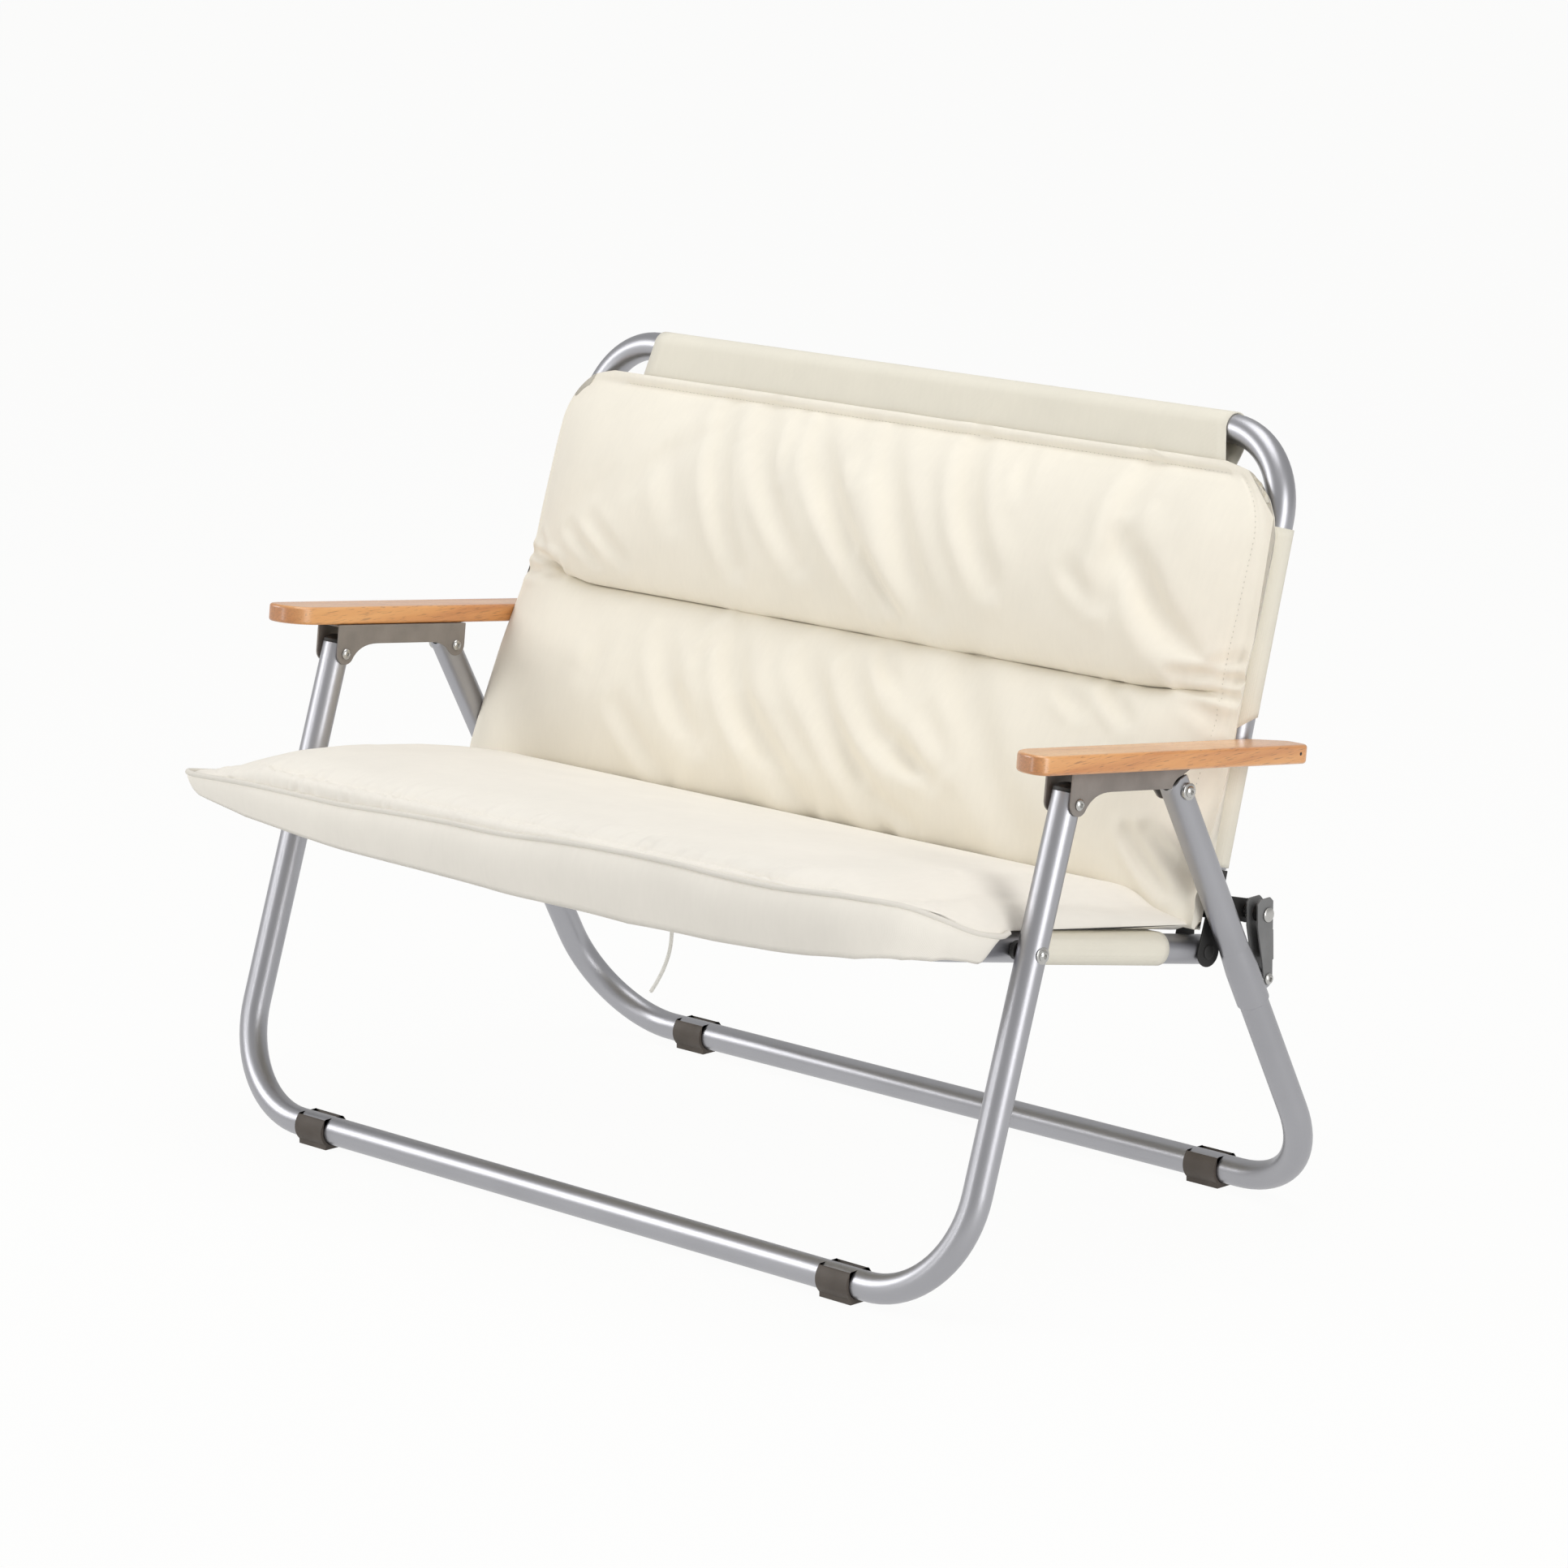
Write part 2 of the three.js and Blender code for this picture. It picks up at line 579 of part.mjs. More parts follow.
// Seat bolts end short of the rails, because this pivot is left open
onBothSides((label, side) => {
  const legInner = LEG_X - TUBE_RADIUS;
  const headFrom = LEG_X + TUBE_RADIUS + CLEARANCE;
  const railFace = RAIL_X + TUBE_RADIUS + CLEARANCE;
  const spacerTo = legInner - CLEARANCE;
  const headTop = headFrom + HEAD_HEIGHT;
  const bolt = turned([
    [0, railFace], [BOLT_RADIUS, railFace], [BOLT_RADIUS, headFrom], [HEAD_RADIUS, headFrom],
    [HEAD_RADIUS, headFrom + HEAD_HEIGHT / 2], [HEAD_RADIUS * HEAD_CROWN, headTop], [0, headTop],
  ], side, LEG_X);
  const spacer = turned([
    [BOLT_HOLE, railFace], [SPACER_RADIUS, railFace], [SPACER_RADIUS, spacerTo],
    [BOLT_HOLE, spacerTo], [BOLT_HOLE, railFace],
  ], side, LEG_X);
  addPiece(frontBody, `seat_bolt_${label}`, bolt.translate(0, 0, -SEAT_BOLT_DOWN), STEEL);
  addPiece(frontBody, `seat_spacer_${label}`, spacer.translate(0, 0, -SEAT_BOLT_DOWN), BLACK);
});

// Collars on the rear legs, each with a lug behind for its link
function linkCollar(side) {
  const middle = side * LEG_X;
  const inner = TUBE_RADIUS + CLEARANCE;
  const shape = circle(inner + COLLAR_WALL, TUBE_SIDES);
  const depth = COLLAR_LENGTH;
  const from = -LINK_FOOT_DOWN - COLLAR_BELOW;
  const body = new THREE.ExtrudeGeometry(shape, { depth, bevelEnabled: false }).translate(middle, 0, from);
  const lug = sidePlate(bandShape([
    [LINK_FOOT_BACK, -LINK_FOOT_DOWN, LUG_RADIUS],
    [0, -LINK_FOOT_DOWN, LUG_RADIUS],
  ]), middle - LUG_HALF_WIDTH, middle + LUG_HALF_WIDTH);
  const boreShape = circle(inner, TUBE_SIDES);
  const bore = new THREE.ExtrudeGeometry(boreShape, { depth: 2 * depth, bevelEnabled: false });
  const reach = 2 * LUG_HALF_WIDTH;
  const slot = (xFrom) => block(
    xFrom, xFrom + SHEET + 2 * CLEARANCE, TUBE_RADIUS / 2, 2 * LINK_FOOT_BACK,
    -LINK_FOOT_DOWN - LUG_RADIUS, depth,
  );
  return without(
    joined(body, lug),
    bore.translate(middle, 0, from - depth / 2),
    slot(middle + LUG_HALF_WIDTH),
    slot(middle - LUG_HALF_WIDTH - SHEET - 2 * CLEARANCE),
    crossRod(BOLT_HOLE, middle - reach, middle + reach, LINK_FOOT_BACK, -LINK_FOOT_DOWN),
  );
}

onBothSides((label, side) => {
  addPiece(rearBody, `link_collar_${label}`, linkCollar(side), ALUMINIUM);
});

// Links, in their own frame: z runs up from the lower pin
function linkCheek() {
  const top = LINK_LENGTH + LINK_HEAD_UP;
  const outline = new THREE.Shape();
  outline.moveTo(LINK_FOOT_RADIUS, 0);
  outline.lineTo(LINK_HEAD_BACK, top - LINK_CHAMFER);
  outline.lineTo(LINK_HEAD_BACK - LINK_CHAMFER, top);
  outline.lineTo(LINK_CHAMFER - LINK_HEAD_FRONT, top);
  outline.lineTo(-LINK_HEAD_FRONT, top - LINK_CHAMFER);
  outline.lineTo(-LINK_HEAD_FRONT, LINK_LENGTH - LINK_HEAD_DOWN);
  outline.lineTo(-LINK_FOOT_RADIUS, 0);
  outline.absarc(0, 0, LINK_FOOT_RADIUS, Math.PI, 2 * Math.PI, false);
  return outline;
}

function linkChannel(side) {
  const middle = side * LEG_X;
  const cheek = linkCheek();
  const webBack = LINK_FOOT_RADIUS + SHEET;
  const ears = joined(
    sidePlate(cheek, middle - CHEEK_OUTER, middle - CHEEK_INNER),
    sidePlate(cheek, middle + CHEEK_INNER, middle + CHEEK_OUTER),
    block(middle - CHEEK_OUTER, middle + CHEEK_OUTER, LINK_FOOT_RADIUS, webBack, LINK_WEB_FROM, LINK_WEB_TO),
  );
  const reach = 2 * CHEEK_OUTER;
  return without(
    ears,
    crossRod(BOLT_HOLE, middle - reach, middle + reach),
    crossRod(BOLT_HOLE, middle - reach, middle + reach, 0, LINK_LENGTH),
  );
}

onBothSides((label, side) => {
  const outside = LEG_X + CHEEK_OUTER + CLEARANCE;
  const inside = LEG_X - CHEEK_OUTER - CLEARANCE;
  const cheekGap = CHEEK_INNER - CLEARANCE;
  const plateInner = RAIL_X + HINGE_INNER - CLEARANCE;
  const plateOuter = RAIL_X + HINGE_OUTER + CLEARANCE;
  const headTop = outside + HEAD_HEIGHT;
  const topPin = turned([
    [0, plateInner - HEAD_HEIGHT], [HEAD_RADIUS, plateInner - HEAD_HEIGHT], [HEAD_RADIUS, plateInner],
    [BOLT_RADIUS, plateInner], [BOLT_RADIUS, plateOuter], [HEAD_RADIUS, plateOuter],
    [HEAD_RADIUS, inside], [BOLT_RADIUS, inside], [BOLT_RADIUS, outside], [HEAD_RADIUS, outside],
    [HEAD_RADIUS, outside + HEAD_HEIGHT / 2], [HEAD_RADIUS * HEAD_CROWN, headTop], [0, headTop],
  ], side, LEG_X);
  const footProfile = boltProfile(inside - RIVET_HEIGHT, inside, outside, RIVET_HEIGHT, LINK_PIN_HEAD);
  const footPin = turned(footProfile, side, LEG_X);
  const bush = turned([
    [BOLT_HOLE, LEG_X - cheekGap], [LINK_BUSH_RADIUS, LEG_X - cheekGap],
    [LINK_BUSH_RADIUS, LEG_X + cheekGap], [BOLT_HOLE, LEG_X + cheekGap], [BOLT_HOLE, LEG_X - cheekGap],
  ], side, LEG_X);
  addPiece(linkBody, `link_${label}`, linkChannel(side), LINK_GREY);
  addPiece(linkBody, `link_bush_${label}`, bush.translate(0, 0, LINK_LENGTH), BLACK);
  addPiece(linkBody, `link_top_pin_${label}`, topPin.translate(0, 0, LINK_LENGTH), STEEL);
  addPiece(linkBody, `link_foot_pin_${label}`, footPin, STEEL);
});

// Back frame, in its own frame: z runs up the back from the hinge
const backTube = bentTube([
  new THREE.Vector3(-RAIL_X, 0, BACK_TUBE_START),
  new THREE.Vector3(-RAIL_X, 0, BACK_HEIGHT),
  new THREE.Vector3(RAIL_X, 0, BACK_HEIGHT),
  new THREE.Vector3(RAIL_X, 0, BACK_TUBE_START),
], BACK_BEND);

function spigot(side, radius, from, to) {
  const rod = new THREE.ExtrudeGeometry(circle(radius), { depth: to - from, bevelEnabled: false });
  return rod.translate(side * RAIL_X, 0, from);
}

const SPIGOT_TOP = BACK_TUBE_START + SPIGOT_LENGTH;
const spigotBores = [-1, 1].map((side) => (
  spigot(side, SPIGOT_RADIUS + CLEARANCE, BACK_TUBE_START - TUBE_RADIUS, SPIGOT_TOP + CLEARANCE)
));
addPiece(backBody, 'back_frame', without(backTube, ...spigotBores), ALUMINIUM);

function hingeBracket(side) {
  const middle = side * RAIL_X;
  const blockTop = BACK_TUBE_START - CLEARANCE;
  const corner = HINGE_SHEET;
  const neck = [
    [0, 0, HINGE_RADIUS],
    [-HINGE_BLOCK_FRONT + corner, blockTop - corner, corner],
    [TUBE_RADIUS - corner, blockTop - corner, corner],
  ];
  const inner = bandShape(neck);
  const outer = bandShape([...neck, [LINK_PIN_BACK, LINK_PIN_UP, HINGE_LUG_RADIUS]]);
  const [outerFrom, outerTo] = side > 0 ? [HINGE_INNER, HINGE_OUTER] : [-HINGE_OUTER, -HINGE_INNER];
  const [innerFrom, innerTo] = side > 0 ? [-HINGE_OUTER, -HINGE_INNER] : [HINGE_INNER, HINGE_OUTER];
  const bracket = joined(
    sidePlate(outer, middle + outerFrom, middle + outerTo),
    sidePlate(inner, middle + innerFrom, middle + innerTo),
    block(middle - HINGE_OUTER, middle + HINGE_OUTER,
      -HINGE_BLOCK_FRONT, TUBE_RADIUS, HINGE_BLOCK_FROM, blockTop),
    block(middle - HINGE_OUTER, middle + HINGE_OUTER,
      TUBE_RADIUS - HINGE_SHEET, TUBE_RADIUS, HINGE_WEB_FROM, blockTop),
    spigot(side, SPIGOT_RADIUS, HINGE_BLOCK_FROM, SPIGOT_TOP),
  );
  const reach = 2 * HINGE_OUTER;
  return without(
    bracket,
    crossRod(BOLT_HOLE, middle - reach, middle + reach),
    crossRod(BOLT_HOLE, middle - reach, middle + reach, LINK_PIN_BACK, LINK_PIN_UP),
  );
}

onBothSides((label, side) => {
  const headFrom = RAIL_X + HINGE_OUTER + CLEARANCE;
  const nutTo = RAIL_X - HINGE_OUTER - CLEARANCE;
  const pin = turned(boltProfile(nutTo - RIVET_HEIGHT, nutTo, headFrom, RIVET_HEIGHT), side, RAIL_X);
  addPiece(backBody, `hinge_bracket_${label}`, hingeBracket(side), BLACK);
  addPiece(backBody, `hinge_pin_${label}`, pin, STEEL);
});

// Back cloth
function flatPanel(outline, yFrom, yTo) {
  const mirrored = outline.map(([x, z]) => new THREE.Vector2(-x, z)).reverse();
  const shape = new THREE.Shape([...outline.map(([x, z]) => new THREE.Vector2(x, z)), ...mirrored]);
  const sheet = new THREE.ExtrudeGeometry(shape, { depth: yTo - yFrom, bevelEnabled: false });
  return sheet.rotateX(Math.PI / 2).translate(0, yTo, 0);
}

function barTunnel(half, y, z) {
  return sidePlate(ringShape(SLEEVE_INNER, SLEEVE_OUTER), -half, half).translate(0, y, z);
}

const backSheet = flatPanel([
  [PANEL_HALF, PANEL_START],
  [PANEL_HALF, BACK_HEIGHT - PANEL_SHOULDER],
  [TOP_TUNNEL_HALF, BACK_HEIGHT - PANEL_NECK],
  [TOP_TUNNEL_HALF, BACK_HEIGHT - SLING_LAP],
], -PANEL_FRONT, -PANEL_BACK);
addPiece(backBody, 'back_panel', joined(backSheet, barTunnel(TOP_TUNNEL_HALF, 0, BACK_HEIGHT)), CANVAS);

onBothSides((label, side) => {
  const low = sleeve(SLEEVE_LOW_FROM, SLEEVE_LOW_TO).translate(side * RAIL_X, 0, 0);
  const high = sleeve(SLEEVE_HIGH_FROM, SLEEVE_HIGH_TO).translate(side * RAIL_X, 0, 0);
  addPiece(backBody, `back_sleeve_lower_${label}`, low, CANVAS);
  addPiece(backBody, `back_sleeve_upper_${label}`, high, CANVAS);
});

// Seat frame, in its own frame: y runs rearwards along the rails from the hinge
const seatCorners = [
  new THREE.Vector3(-RAIL_X, RAIL_TAIL, 0),
  new THREE.Vector3(-RAIL_X, -SEAT_BAR, 0),
  new THREE.Vector3(RAIL_X, -SEAT_BAR, 0),
  new THREE.Vector3(RAIL_X, RAIL_TAIL, 0),
];
const seatTube = bentTube(seatCorners, SEAT_BEND);
const RAIL_BORE_DEPTH = RAIL_TAIL - BOLT_HOLE - PLUG_WALL;

function railBore(side) {
  const bore = new THREE.ExtrudeGeometry(circle(PLUG_BORE), { depth: TUBE_RADIUS, bevelEnabled: false });
  return bore.rotateX(-Math.PI / 2).translate(side * RAIL_X, RAIL_TAIL - RAIL_BORE_DEPTH, 0);
}

const hingeHole = crossRod(BOLT_HOLE, -LEG_X, LEG_X);
addPiece(seatBody, 'seat_frame', without(seatTube, hingeHole, railBore(-1), railBore(1)), ALUMINIUM);

onBothSides((label, side) => {
  const plugProfile = [
    [0, CLEARANCE - RAIL_BORE_DEPTH], [PLUG_BORE - CLEARANCE, CLEARANCE - RAIL_BORE_DEPTH],
    [PLUG_BORE - CLEARANCE, CLEARANCE], [TUBE_RADIUS, CLEARANCE], [TUBE_RADIUS, PLUG_WALL], [0, PLUG_WALL],
  ].map(([radius, y]) => new THREE.Vector2(radius, y));
  const plug = new THREE.LatheGeometry(plugProfile, ROUND_SIDES).translate(side * RAIL_X, RAIL_TAIL, 0);
  const tunnel = sleeve(RAIL_SLEEVE_FROM, RAIL_SLEEVE_TO).rotateX(Math.PI / 2);
  addPiece(seatBody, `rail_plug_${label}`, plug, BLACK);
  addPiece(seatBody, `rail_sleeve_${label}`, tunnel.translate(side * RAIL_X, 0, 0), CANVAS);
});

// Seat cloth, flat between the rails and wrapped round the front bar
const slingSheet = flatPanel([
  [PANEL_HALF, SLING_START],
  [PANEL_HALF, SEAT_BAR - SEAT_BEND],
  [RAIL_X - SEAT_BEND, SEAT_BAR - SLING_LAP],
], PANEL_BACK, PANEL_FRONT).rotateX(Math.PI / 2);
addPiece(seatBody, 'seat_sling', joined(slingSheet, barTunnel(FRONT_TUNNEL_HALF, -SEAT_BAR, 0)), CANVAS);

// Cushions: a closed section swept across the width, drawn to a seam at each side
function stitched(rings) {
  const count = rings[0].length;
  const points = rings.flat();
  const index = [];
  for (let r = 0; r + 1 < rings.length; r += 1) {
    for (let i = 0; i < count; i += 1) {
      const next = (i + 1) % count;
      const [a, b] = [r * count + i, r * count + next];
      index.push(a, b, b + count, a, b + count, a + count);
    }
  }
  const capFirst = [];
  const capLast = [];
  const last = (rings.length - 1) * count;
  for (let i = 1; i + 1 < count; i += 1) {
    capFirst.push(0, i + 1, i);
    capLast.push(last, last + i, last + i + 1);
  }
  const geometry = new THREE.BufferGeometry().setFromPoints(points);
  geometry.setIndex([...index, ...capFirst, ...capLast]);
  geometry.computeVertexNormals();
  return geometry;
}

// Half width at a place along the cushion: drawn in at the middle, round at the far corners
function plan(along, half, waist, from, to, corner) {
  const drawnIn = waist * Math.sin((Math.PI * (along - from)) / (to - from));
  const past = Math.max(0, along - (to - corner));
  return half - drawnIn - corner + Math.sqrt(corner ** 2 - Math.min(past, corner) ** 2);
}

function cushion(section, seam, power, halfWidthAt, place) {
  const rings = [];
  for (let slice = 0; slice <= CUSHION_SLICES; slice += 1) {
    const across = Math.sin((Math.PI / 2) * ((2 * slice) / CUSHION_SLICES - 1));
    const swell = (1 - Math.abs(across) ** power) ** (1 / power);
    rings.push(section.map((point) => {
      const above = point.y - seam;
      const height = seam + above * swell + Math.sign(above) * SEAM_HALF * (1 - swell);
      return place(across * halfWidthAt(point.x), point.x, height);
    }));
  }
  return stitched(rings);
}

function smooth(points, count) {
  return new THREE.SplineCurve(points.map(([a, b]) => new THREE.Vector2(a, b))).getPoints(count);
}

// Seat section as [distance from the hinge, height over the rails]
const HOOD_START = SEAT_PIVOT_AT + TUBE_RADIUS;
const seatTop = smooth([
  [SEAT_REAR + SEAT_TUCK, CUSHION_BASE],
  [SEAT_REAR, SEAT_PIPING],
  [SEAT_REAR + SEAT_TUCK, SEAT_CROWN - SEAT_SHOULDER],
  [SEAT_REAR + SEAT_ROUNDING, SEAT_CROWN - SEAT_EASE],
  [SEAT_PIVOT_AT - SEAT_CREST, SEAT_CROWN],
  [SEAT_PIVOT_AT + SEAT_CREST, SEAT_CROWN],
  [SEAT_BAR - SEAT_NOSE, SEAT_CROWN - SEAT_EASE],
  [SEAT_BAR + SEAT_NOSE, SEAT_CROWN - SEAT_SHOULDER],
  [SEAT_FRONT, SEAT_PIPING],
  [SEAT_FRONT - SEAT_UNDERCUT / 8, SEAT_PIPING / 4],
  [SEAT_FRONT - SEAT_UNDERCUT / 2, -SEAT_LIP / 2],
  [SEAT_FRONT - SEAT_UNDERCUT, -SEAT_LIP],
], SEAT_SECTION_POINTS);
const seatUnder = [
  new THREE.Vector2(SEAT_BAR + CUSHION_BASE / 2, -SEAT_LIP),
  new THREE.Vector2(SEAT_BAR - SEAT_BEND / 2, -SEAT_LIP + SEAT_TUCK / 2),
  new THREE.Vector2(SEAT_BAR - SEAT_BEND, -SEAT_LIP / 2),
  new THREE.Vector2(HOOD_START + HOOD_FLARE, SEAT_SEAM - SEAT_LIP / 4),
  new THREE.Vector2(HOOD_START, CUSHION_BASE),
  new THREE.Vector2(SEAT_PIVOT_AT / 2, CUSHION_BASE),
];

// In front of the legs the cover widens into a hood over the corners of the frame
function seatHalfWidth(along) {
  const flare = THREE.MathUtils.smoothstep(along, HOOD_START, HOOD_START + HOOD_FLARE);
  const half = THREE.MathUtils.lerp(SEAT_HALF_WIDTH, HOOD_HALF_WIDTH, flare);
  return plan(along, half, SEAT_WAIST, SEAT_REAR, SEAT_FRONT, SEAT_CORNER);
}

const seatPillow = cushion(
  [...seatTop, ...seatUnder],
  SEAT_SEAM,
  SEAT_SIDE_POWER,
  seatHalfWidth,
  (x, along, height) => new THREE.Vector3(x, -along, height),
);
const seatFrameSpace = [
  bentTube(seatCorners, SEAT_BEND, CUSHION_BASE),
  block(-RAIL_X, RAIL_X, -SEAT_BAR - TUBE_RADIUS / 2, RAIL_X, -RAIL_X, CUSHION_BASE),
];
addPiece(seatBody, 'seat_cushion', without(seatPillow, ...seatFrameSpace), CREAM);

// Back section as [distance up the back, depth in front of the tubes]
const backFront = smooth([
  [BACK_PAD_BOTTOM + BACK_TUCK, CUSHION_BASE],
  [BACK_PAD_BOTTOM, BACK_SEAM + BACK_TUCK / 2],
  [BACK_PAD_BOTTOM + BACK_TUCK / 2, BACK_LOW_CROWN - BACK_SHOULDER],
  [BACK_PAD_BOTTOM + BACK_SHOULDER, BACK_LOW_CROWN - BACK_TUCK],
  [BACK_PAD_BOTTOM + BACK_ROUNDING, BACK_LOW_CROWN],
  [BACK_CHANNEL - BACK_ROUNDING, BACK_HIGH_CROWN - BACK_TUCK / 2],
  [BACK_CHANNEL - BACK_CHANNEL_HALF, BACK_HIGH_CROWN - BACK_CHANNEL_HALF],
  [BACK_CHANNEL, BACK_CHANNEL_DEPTH],
  [BACK_CHANNEL + BACK_CHANNEL_HALF, BACK_HIGH_CROWN - BACK_CHANNEL_HALF],
  [BACK_CHANNEL + BACK_ROUNDING, BACK_HIGH_CROWN],
  [BACK_PAD_TOP - BACK_TAPER, BACK_HIGH_CROWN],
  [BACK_PAD_TOP - BACK_TAPER / 2, BACK_HIGH_CROWN - BACK_FLANGE],
  [BACK_PAD_TOP - BACK_FLANGE, BACK_SEAM + BACK_TUCK],
  [BACK_PAD_TOP, BACK_SEAM],
], BACK_SECTION_POINTS);
const backRear = [
  new THREE.Vector2(BACK_PAD_TOP, CUSHION_BASE),
  new THREE.Vector2(BACK_PAD_TOP - BACK_CORNER, CUSHION_BASE),
  new THREE.Vector2(BACK_CHANNEL, CUSHION_BASE),
];
const backCushion = cushion(
  [...backFront, ...backRear],
  BACK_SEAM,
  BACK_SIDE_POWER,
  (along) => plan(along, BACK_HALF_WIDTH, BACK_WAIST, BACK_PAD_BOTTOM, BACK_PAD_TOP, BACK_CORNER),
  (x, along, depth) => new THREE.Vector3(-x, -depth, along),
);
addPiece(backBody, 'back_cushion', backCushion, CREAM);

// Tie cord, hanging straight down whatever the seat's slope
const seatUp = new THREE.Vector2(seatForward.y, -seatForward.x);
const CORD_GAP = CLEARANCE + CORD_RADIUS * Math.abs(seatForward.y);
const cordTop = hinge.clone()
  .addScaledVector(seatForward, SEAT_BAR - CORD_BEHIND_BAR)
  .addScaledVector(seatUp, PANEL_BACK - CORD_GAP);
const cordPath = new THREE.CatmullRomCurve3(CORD_ROUTE.map((p) => new THREE.Vector3(...p)));
const cord = new THREE.ExtrudeGeometry(circle(CORD_RADIUS, CORD_SIDES), {
  extrudePath: cordPath,
  steps: CORD_STEPS,
});
addPiece(part, 'tie_cord', cord.translate(CORD_X, cordTop.x, cordTop.y), CORD_WHITE);

// The origin is the middle of the footprint, on the floor
part.updateMatrixWorld(true);
const bounds = new THREE.Box3().setFromObject(part, true);
const middle = bounds.getCenter(new THREE.Vector3());
part.position.set(-middle.x, -middle.y, -bounds.min.z);

export default part;
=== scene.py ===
"""Looks of the folding camping loveseat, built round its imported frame.

Metres, +Z up, the sitter faces -Y. Each body has its own local frame, as in the CAD:
z runs up its tubes, or y runs rearwards along the seat rails.
"""
import json
import math

import bpy
import numpy as np
from mathutils import Matrix, Vector


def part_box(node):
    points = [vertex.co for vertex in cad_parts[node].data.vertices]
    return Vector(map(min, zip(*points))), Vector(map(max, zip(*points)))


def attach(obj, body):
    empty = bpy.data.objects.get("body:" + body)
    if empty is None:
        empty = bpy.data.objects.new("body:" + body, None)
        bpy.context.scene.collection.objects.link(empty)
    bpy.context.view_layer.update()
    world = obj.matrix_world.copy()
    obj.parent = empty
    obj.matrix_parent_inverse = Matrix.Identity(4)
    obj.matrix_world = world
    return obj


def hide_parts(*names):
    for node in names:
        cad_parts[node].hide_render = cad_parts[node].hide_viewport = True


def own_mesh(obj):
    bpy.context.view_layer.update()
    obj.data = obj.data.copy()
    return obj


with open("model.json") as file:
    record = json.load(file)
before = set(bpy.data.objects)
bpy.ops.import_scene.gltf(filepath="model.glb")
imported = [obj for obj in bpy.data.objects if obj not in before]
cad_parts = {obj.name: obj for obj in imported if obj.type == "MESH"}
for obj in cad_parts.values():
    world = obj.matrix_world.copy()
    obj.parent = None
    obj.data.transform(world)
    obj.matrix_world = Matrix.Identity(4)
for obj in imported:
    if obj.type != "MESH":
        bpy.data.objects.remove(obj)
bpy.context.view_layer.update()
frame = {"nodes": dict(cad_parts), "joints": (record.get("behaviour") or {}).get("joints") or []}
rng = np.random.default_rng(7)

# Tubes and layout
TUBE_RADIUS = 0.014
TUBE_WALL = 0.0016
TUBE_SIDES = 40
TUBE_HOLLOW = 0.012
BEND_STEPS = 20
CLEARANCE = 0.0003
LEG_X = 0.5
RAIL_X = 0.466
LEG_BEND = 0.105
LEG_TOP = 0.009
LEG_TONGUE = 0.0155
CAP_SWING = 0.0185
BACK_BEND = 0.078
BACK_HEIGHT = 0.482
BACK_TUBE_START = 0.077
BACK_RECLINE = math.radians(16)
SEAT_BEND = 0.09
RAIL_TAIL = 0.011
SEAT_BOLT_DOWN = 0.138
SEAT_FRONT_REACH = 0.158

# Feet
FOOT_WALL = 0.0032
FOOT_LENGTH = 0.04
FOOT_HALF_DEPTH = 0.012
FOOT_MOUTH = 0.011
FOOT_LIP = 0.0016
FOOT_EDGE = 0.0009
FOOT_INSET = {"front": 0.135, "rear": 0.143}
BAR_Z = FOOT_WALL + CLEARANCE + TUBE_RADIUS

# Armrests and brackets
ARM_TILT = math.radians(7.2)
ARM_SEAT_HEIGHT = 0.023
ARM_WIDTH = 0.048
ARM_THICKNESS = 0.018
ARM_INNER_X = 0.484
ARM_OUTER_X = ARM_INNER_X + ARM_WIDTH
ARM_FRONT_REACH = 0.219
ARM_REAR_REACH = 0.147
ARM_NOSE_ROUND = 0.014
ARM_INNER_ROUND = 0.031
ARM_TAIL_ROUND = 0.009
ARM_TAIL_CLIP = (0.02, 0.037)
ARM_EDGE = 0.0032
DOWEL_RADIUS = 0.0016
DOWEL_DEPTH = 0.004
DOWEL_PROUD = 0.0001
DOWEL_FROM_REAR = 0.014
DOWEL_HEIGHT = 0.0099
SHEET = 0.0022
SHEET_EDGE = 0.0006
CHANNEL_INNER = TUBE_RADIUS + 0.0006
CHANNEL_OUTER = CHANNEL_INNER + SHEET
CHANNEL_TOP = ARM_SEAT_HEIGHT - CLEARANCE
EAR_RADIUS = 0.011
EAR_LEAN = 40
ARCH_HEIGHT = 0.0035
ARCH_REAR = 0.036
ARCH_FRONT = 0.042
PLATE_STOP = 0.01
PLATE_HOLLOW = TUBE_RADIUS + 0.0012
PLATE_TIP = 0.002

# Fasteners
BOLT_RADIUS = 0.004
HEAD_RADIUS = 0.0054
HEAD_HEIGHT = 0.0026
HEAD_EDGE = 0.0004
WASHER_RADIUS = 0.0078
WASHER_SINK = 0.001
SOCKET_RADIUS = 0.0023
SOCKET_DEPTH = 0.0016

# Links and their collars on the rear legs
LINK_LENGTH = 0.0615
LUG_HALF_WIDTH = 0.005
CHEEK_INNER = LUG_HALF_WIDTH + CLEARANCE
CHEEK_OUTER = CHEEK_INNER + SHEET
LINK_FOOT_RADIUS = 0.006
LINK_HEAD_FRONT = 0.014
LINK_HEAD_BACK = 0.008
LINK_HEAD_UP = 0.016
LINK_HEAD_DOWN = 0.01
LINK_CHAMFER = 0.004
LINK_WEB = (0.017, 0.046)
LINK_FOOT_DOWN = 0.233
LINK_FOOT_BACK = 0.02
COLLAR_RADIUS = TUBE_RADIUS + 0.0017
COLLAR_LENGTH = 0.066
COLLAR_BELOW = 0.012
COLLAR_EDGE = 0.0006
LUG_RADIUS = 0.009

# Places taken from the frame
JOINT = {j["name"]: Vector(j["pos_m"]) for j in frame["joints"]}
arm_rear = JOINT["arm_fold"]
arm_front = JOINT["front_leg_fold"]
link_foot = JOINT["link_swing"]
link_top = JOINT["back_fold"]
hinge = JOINT["seat_fold"]


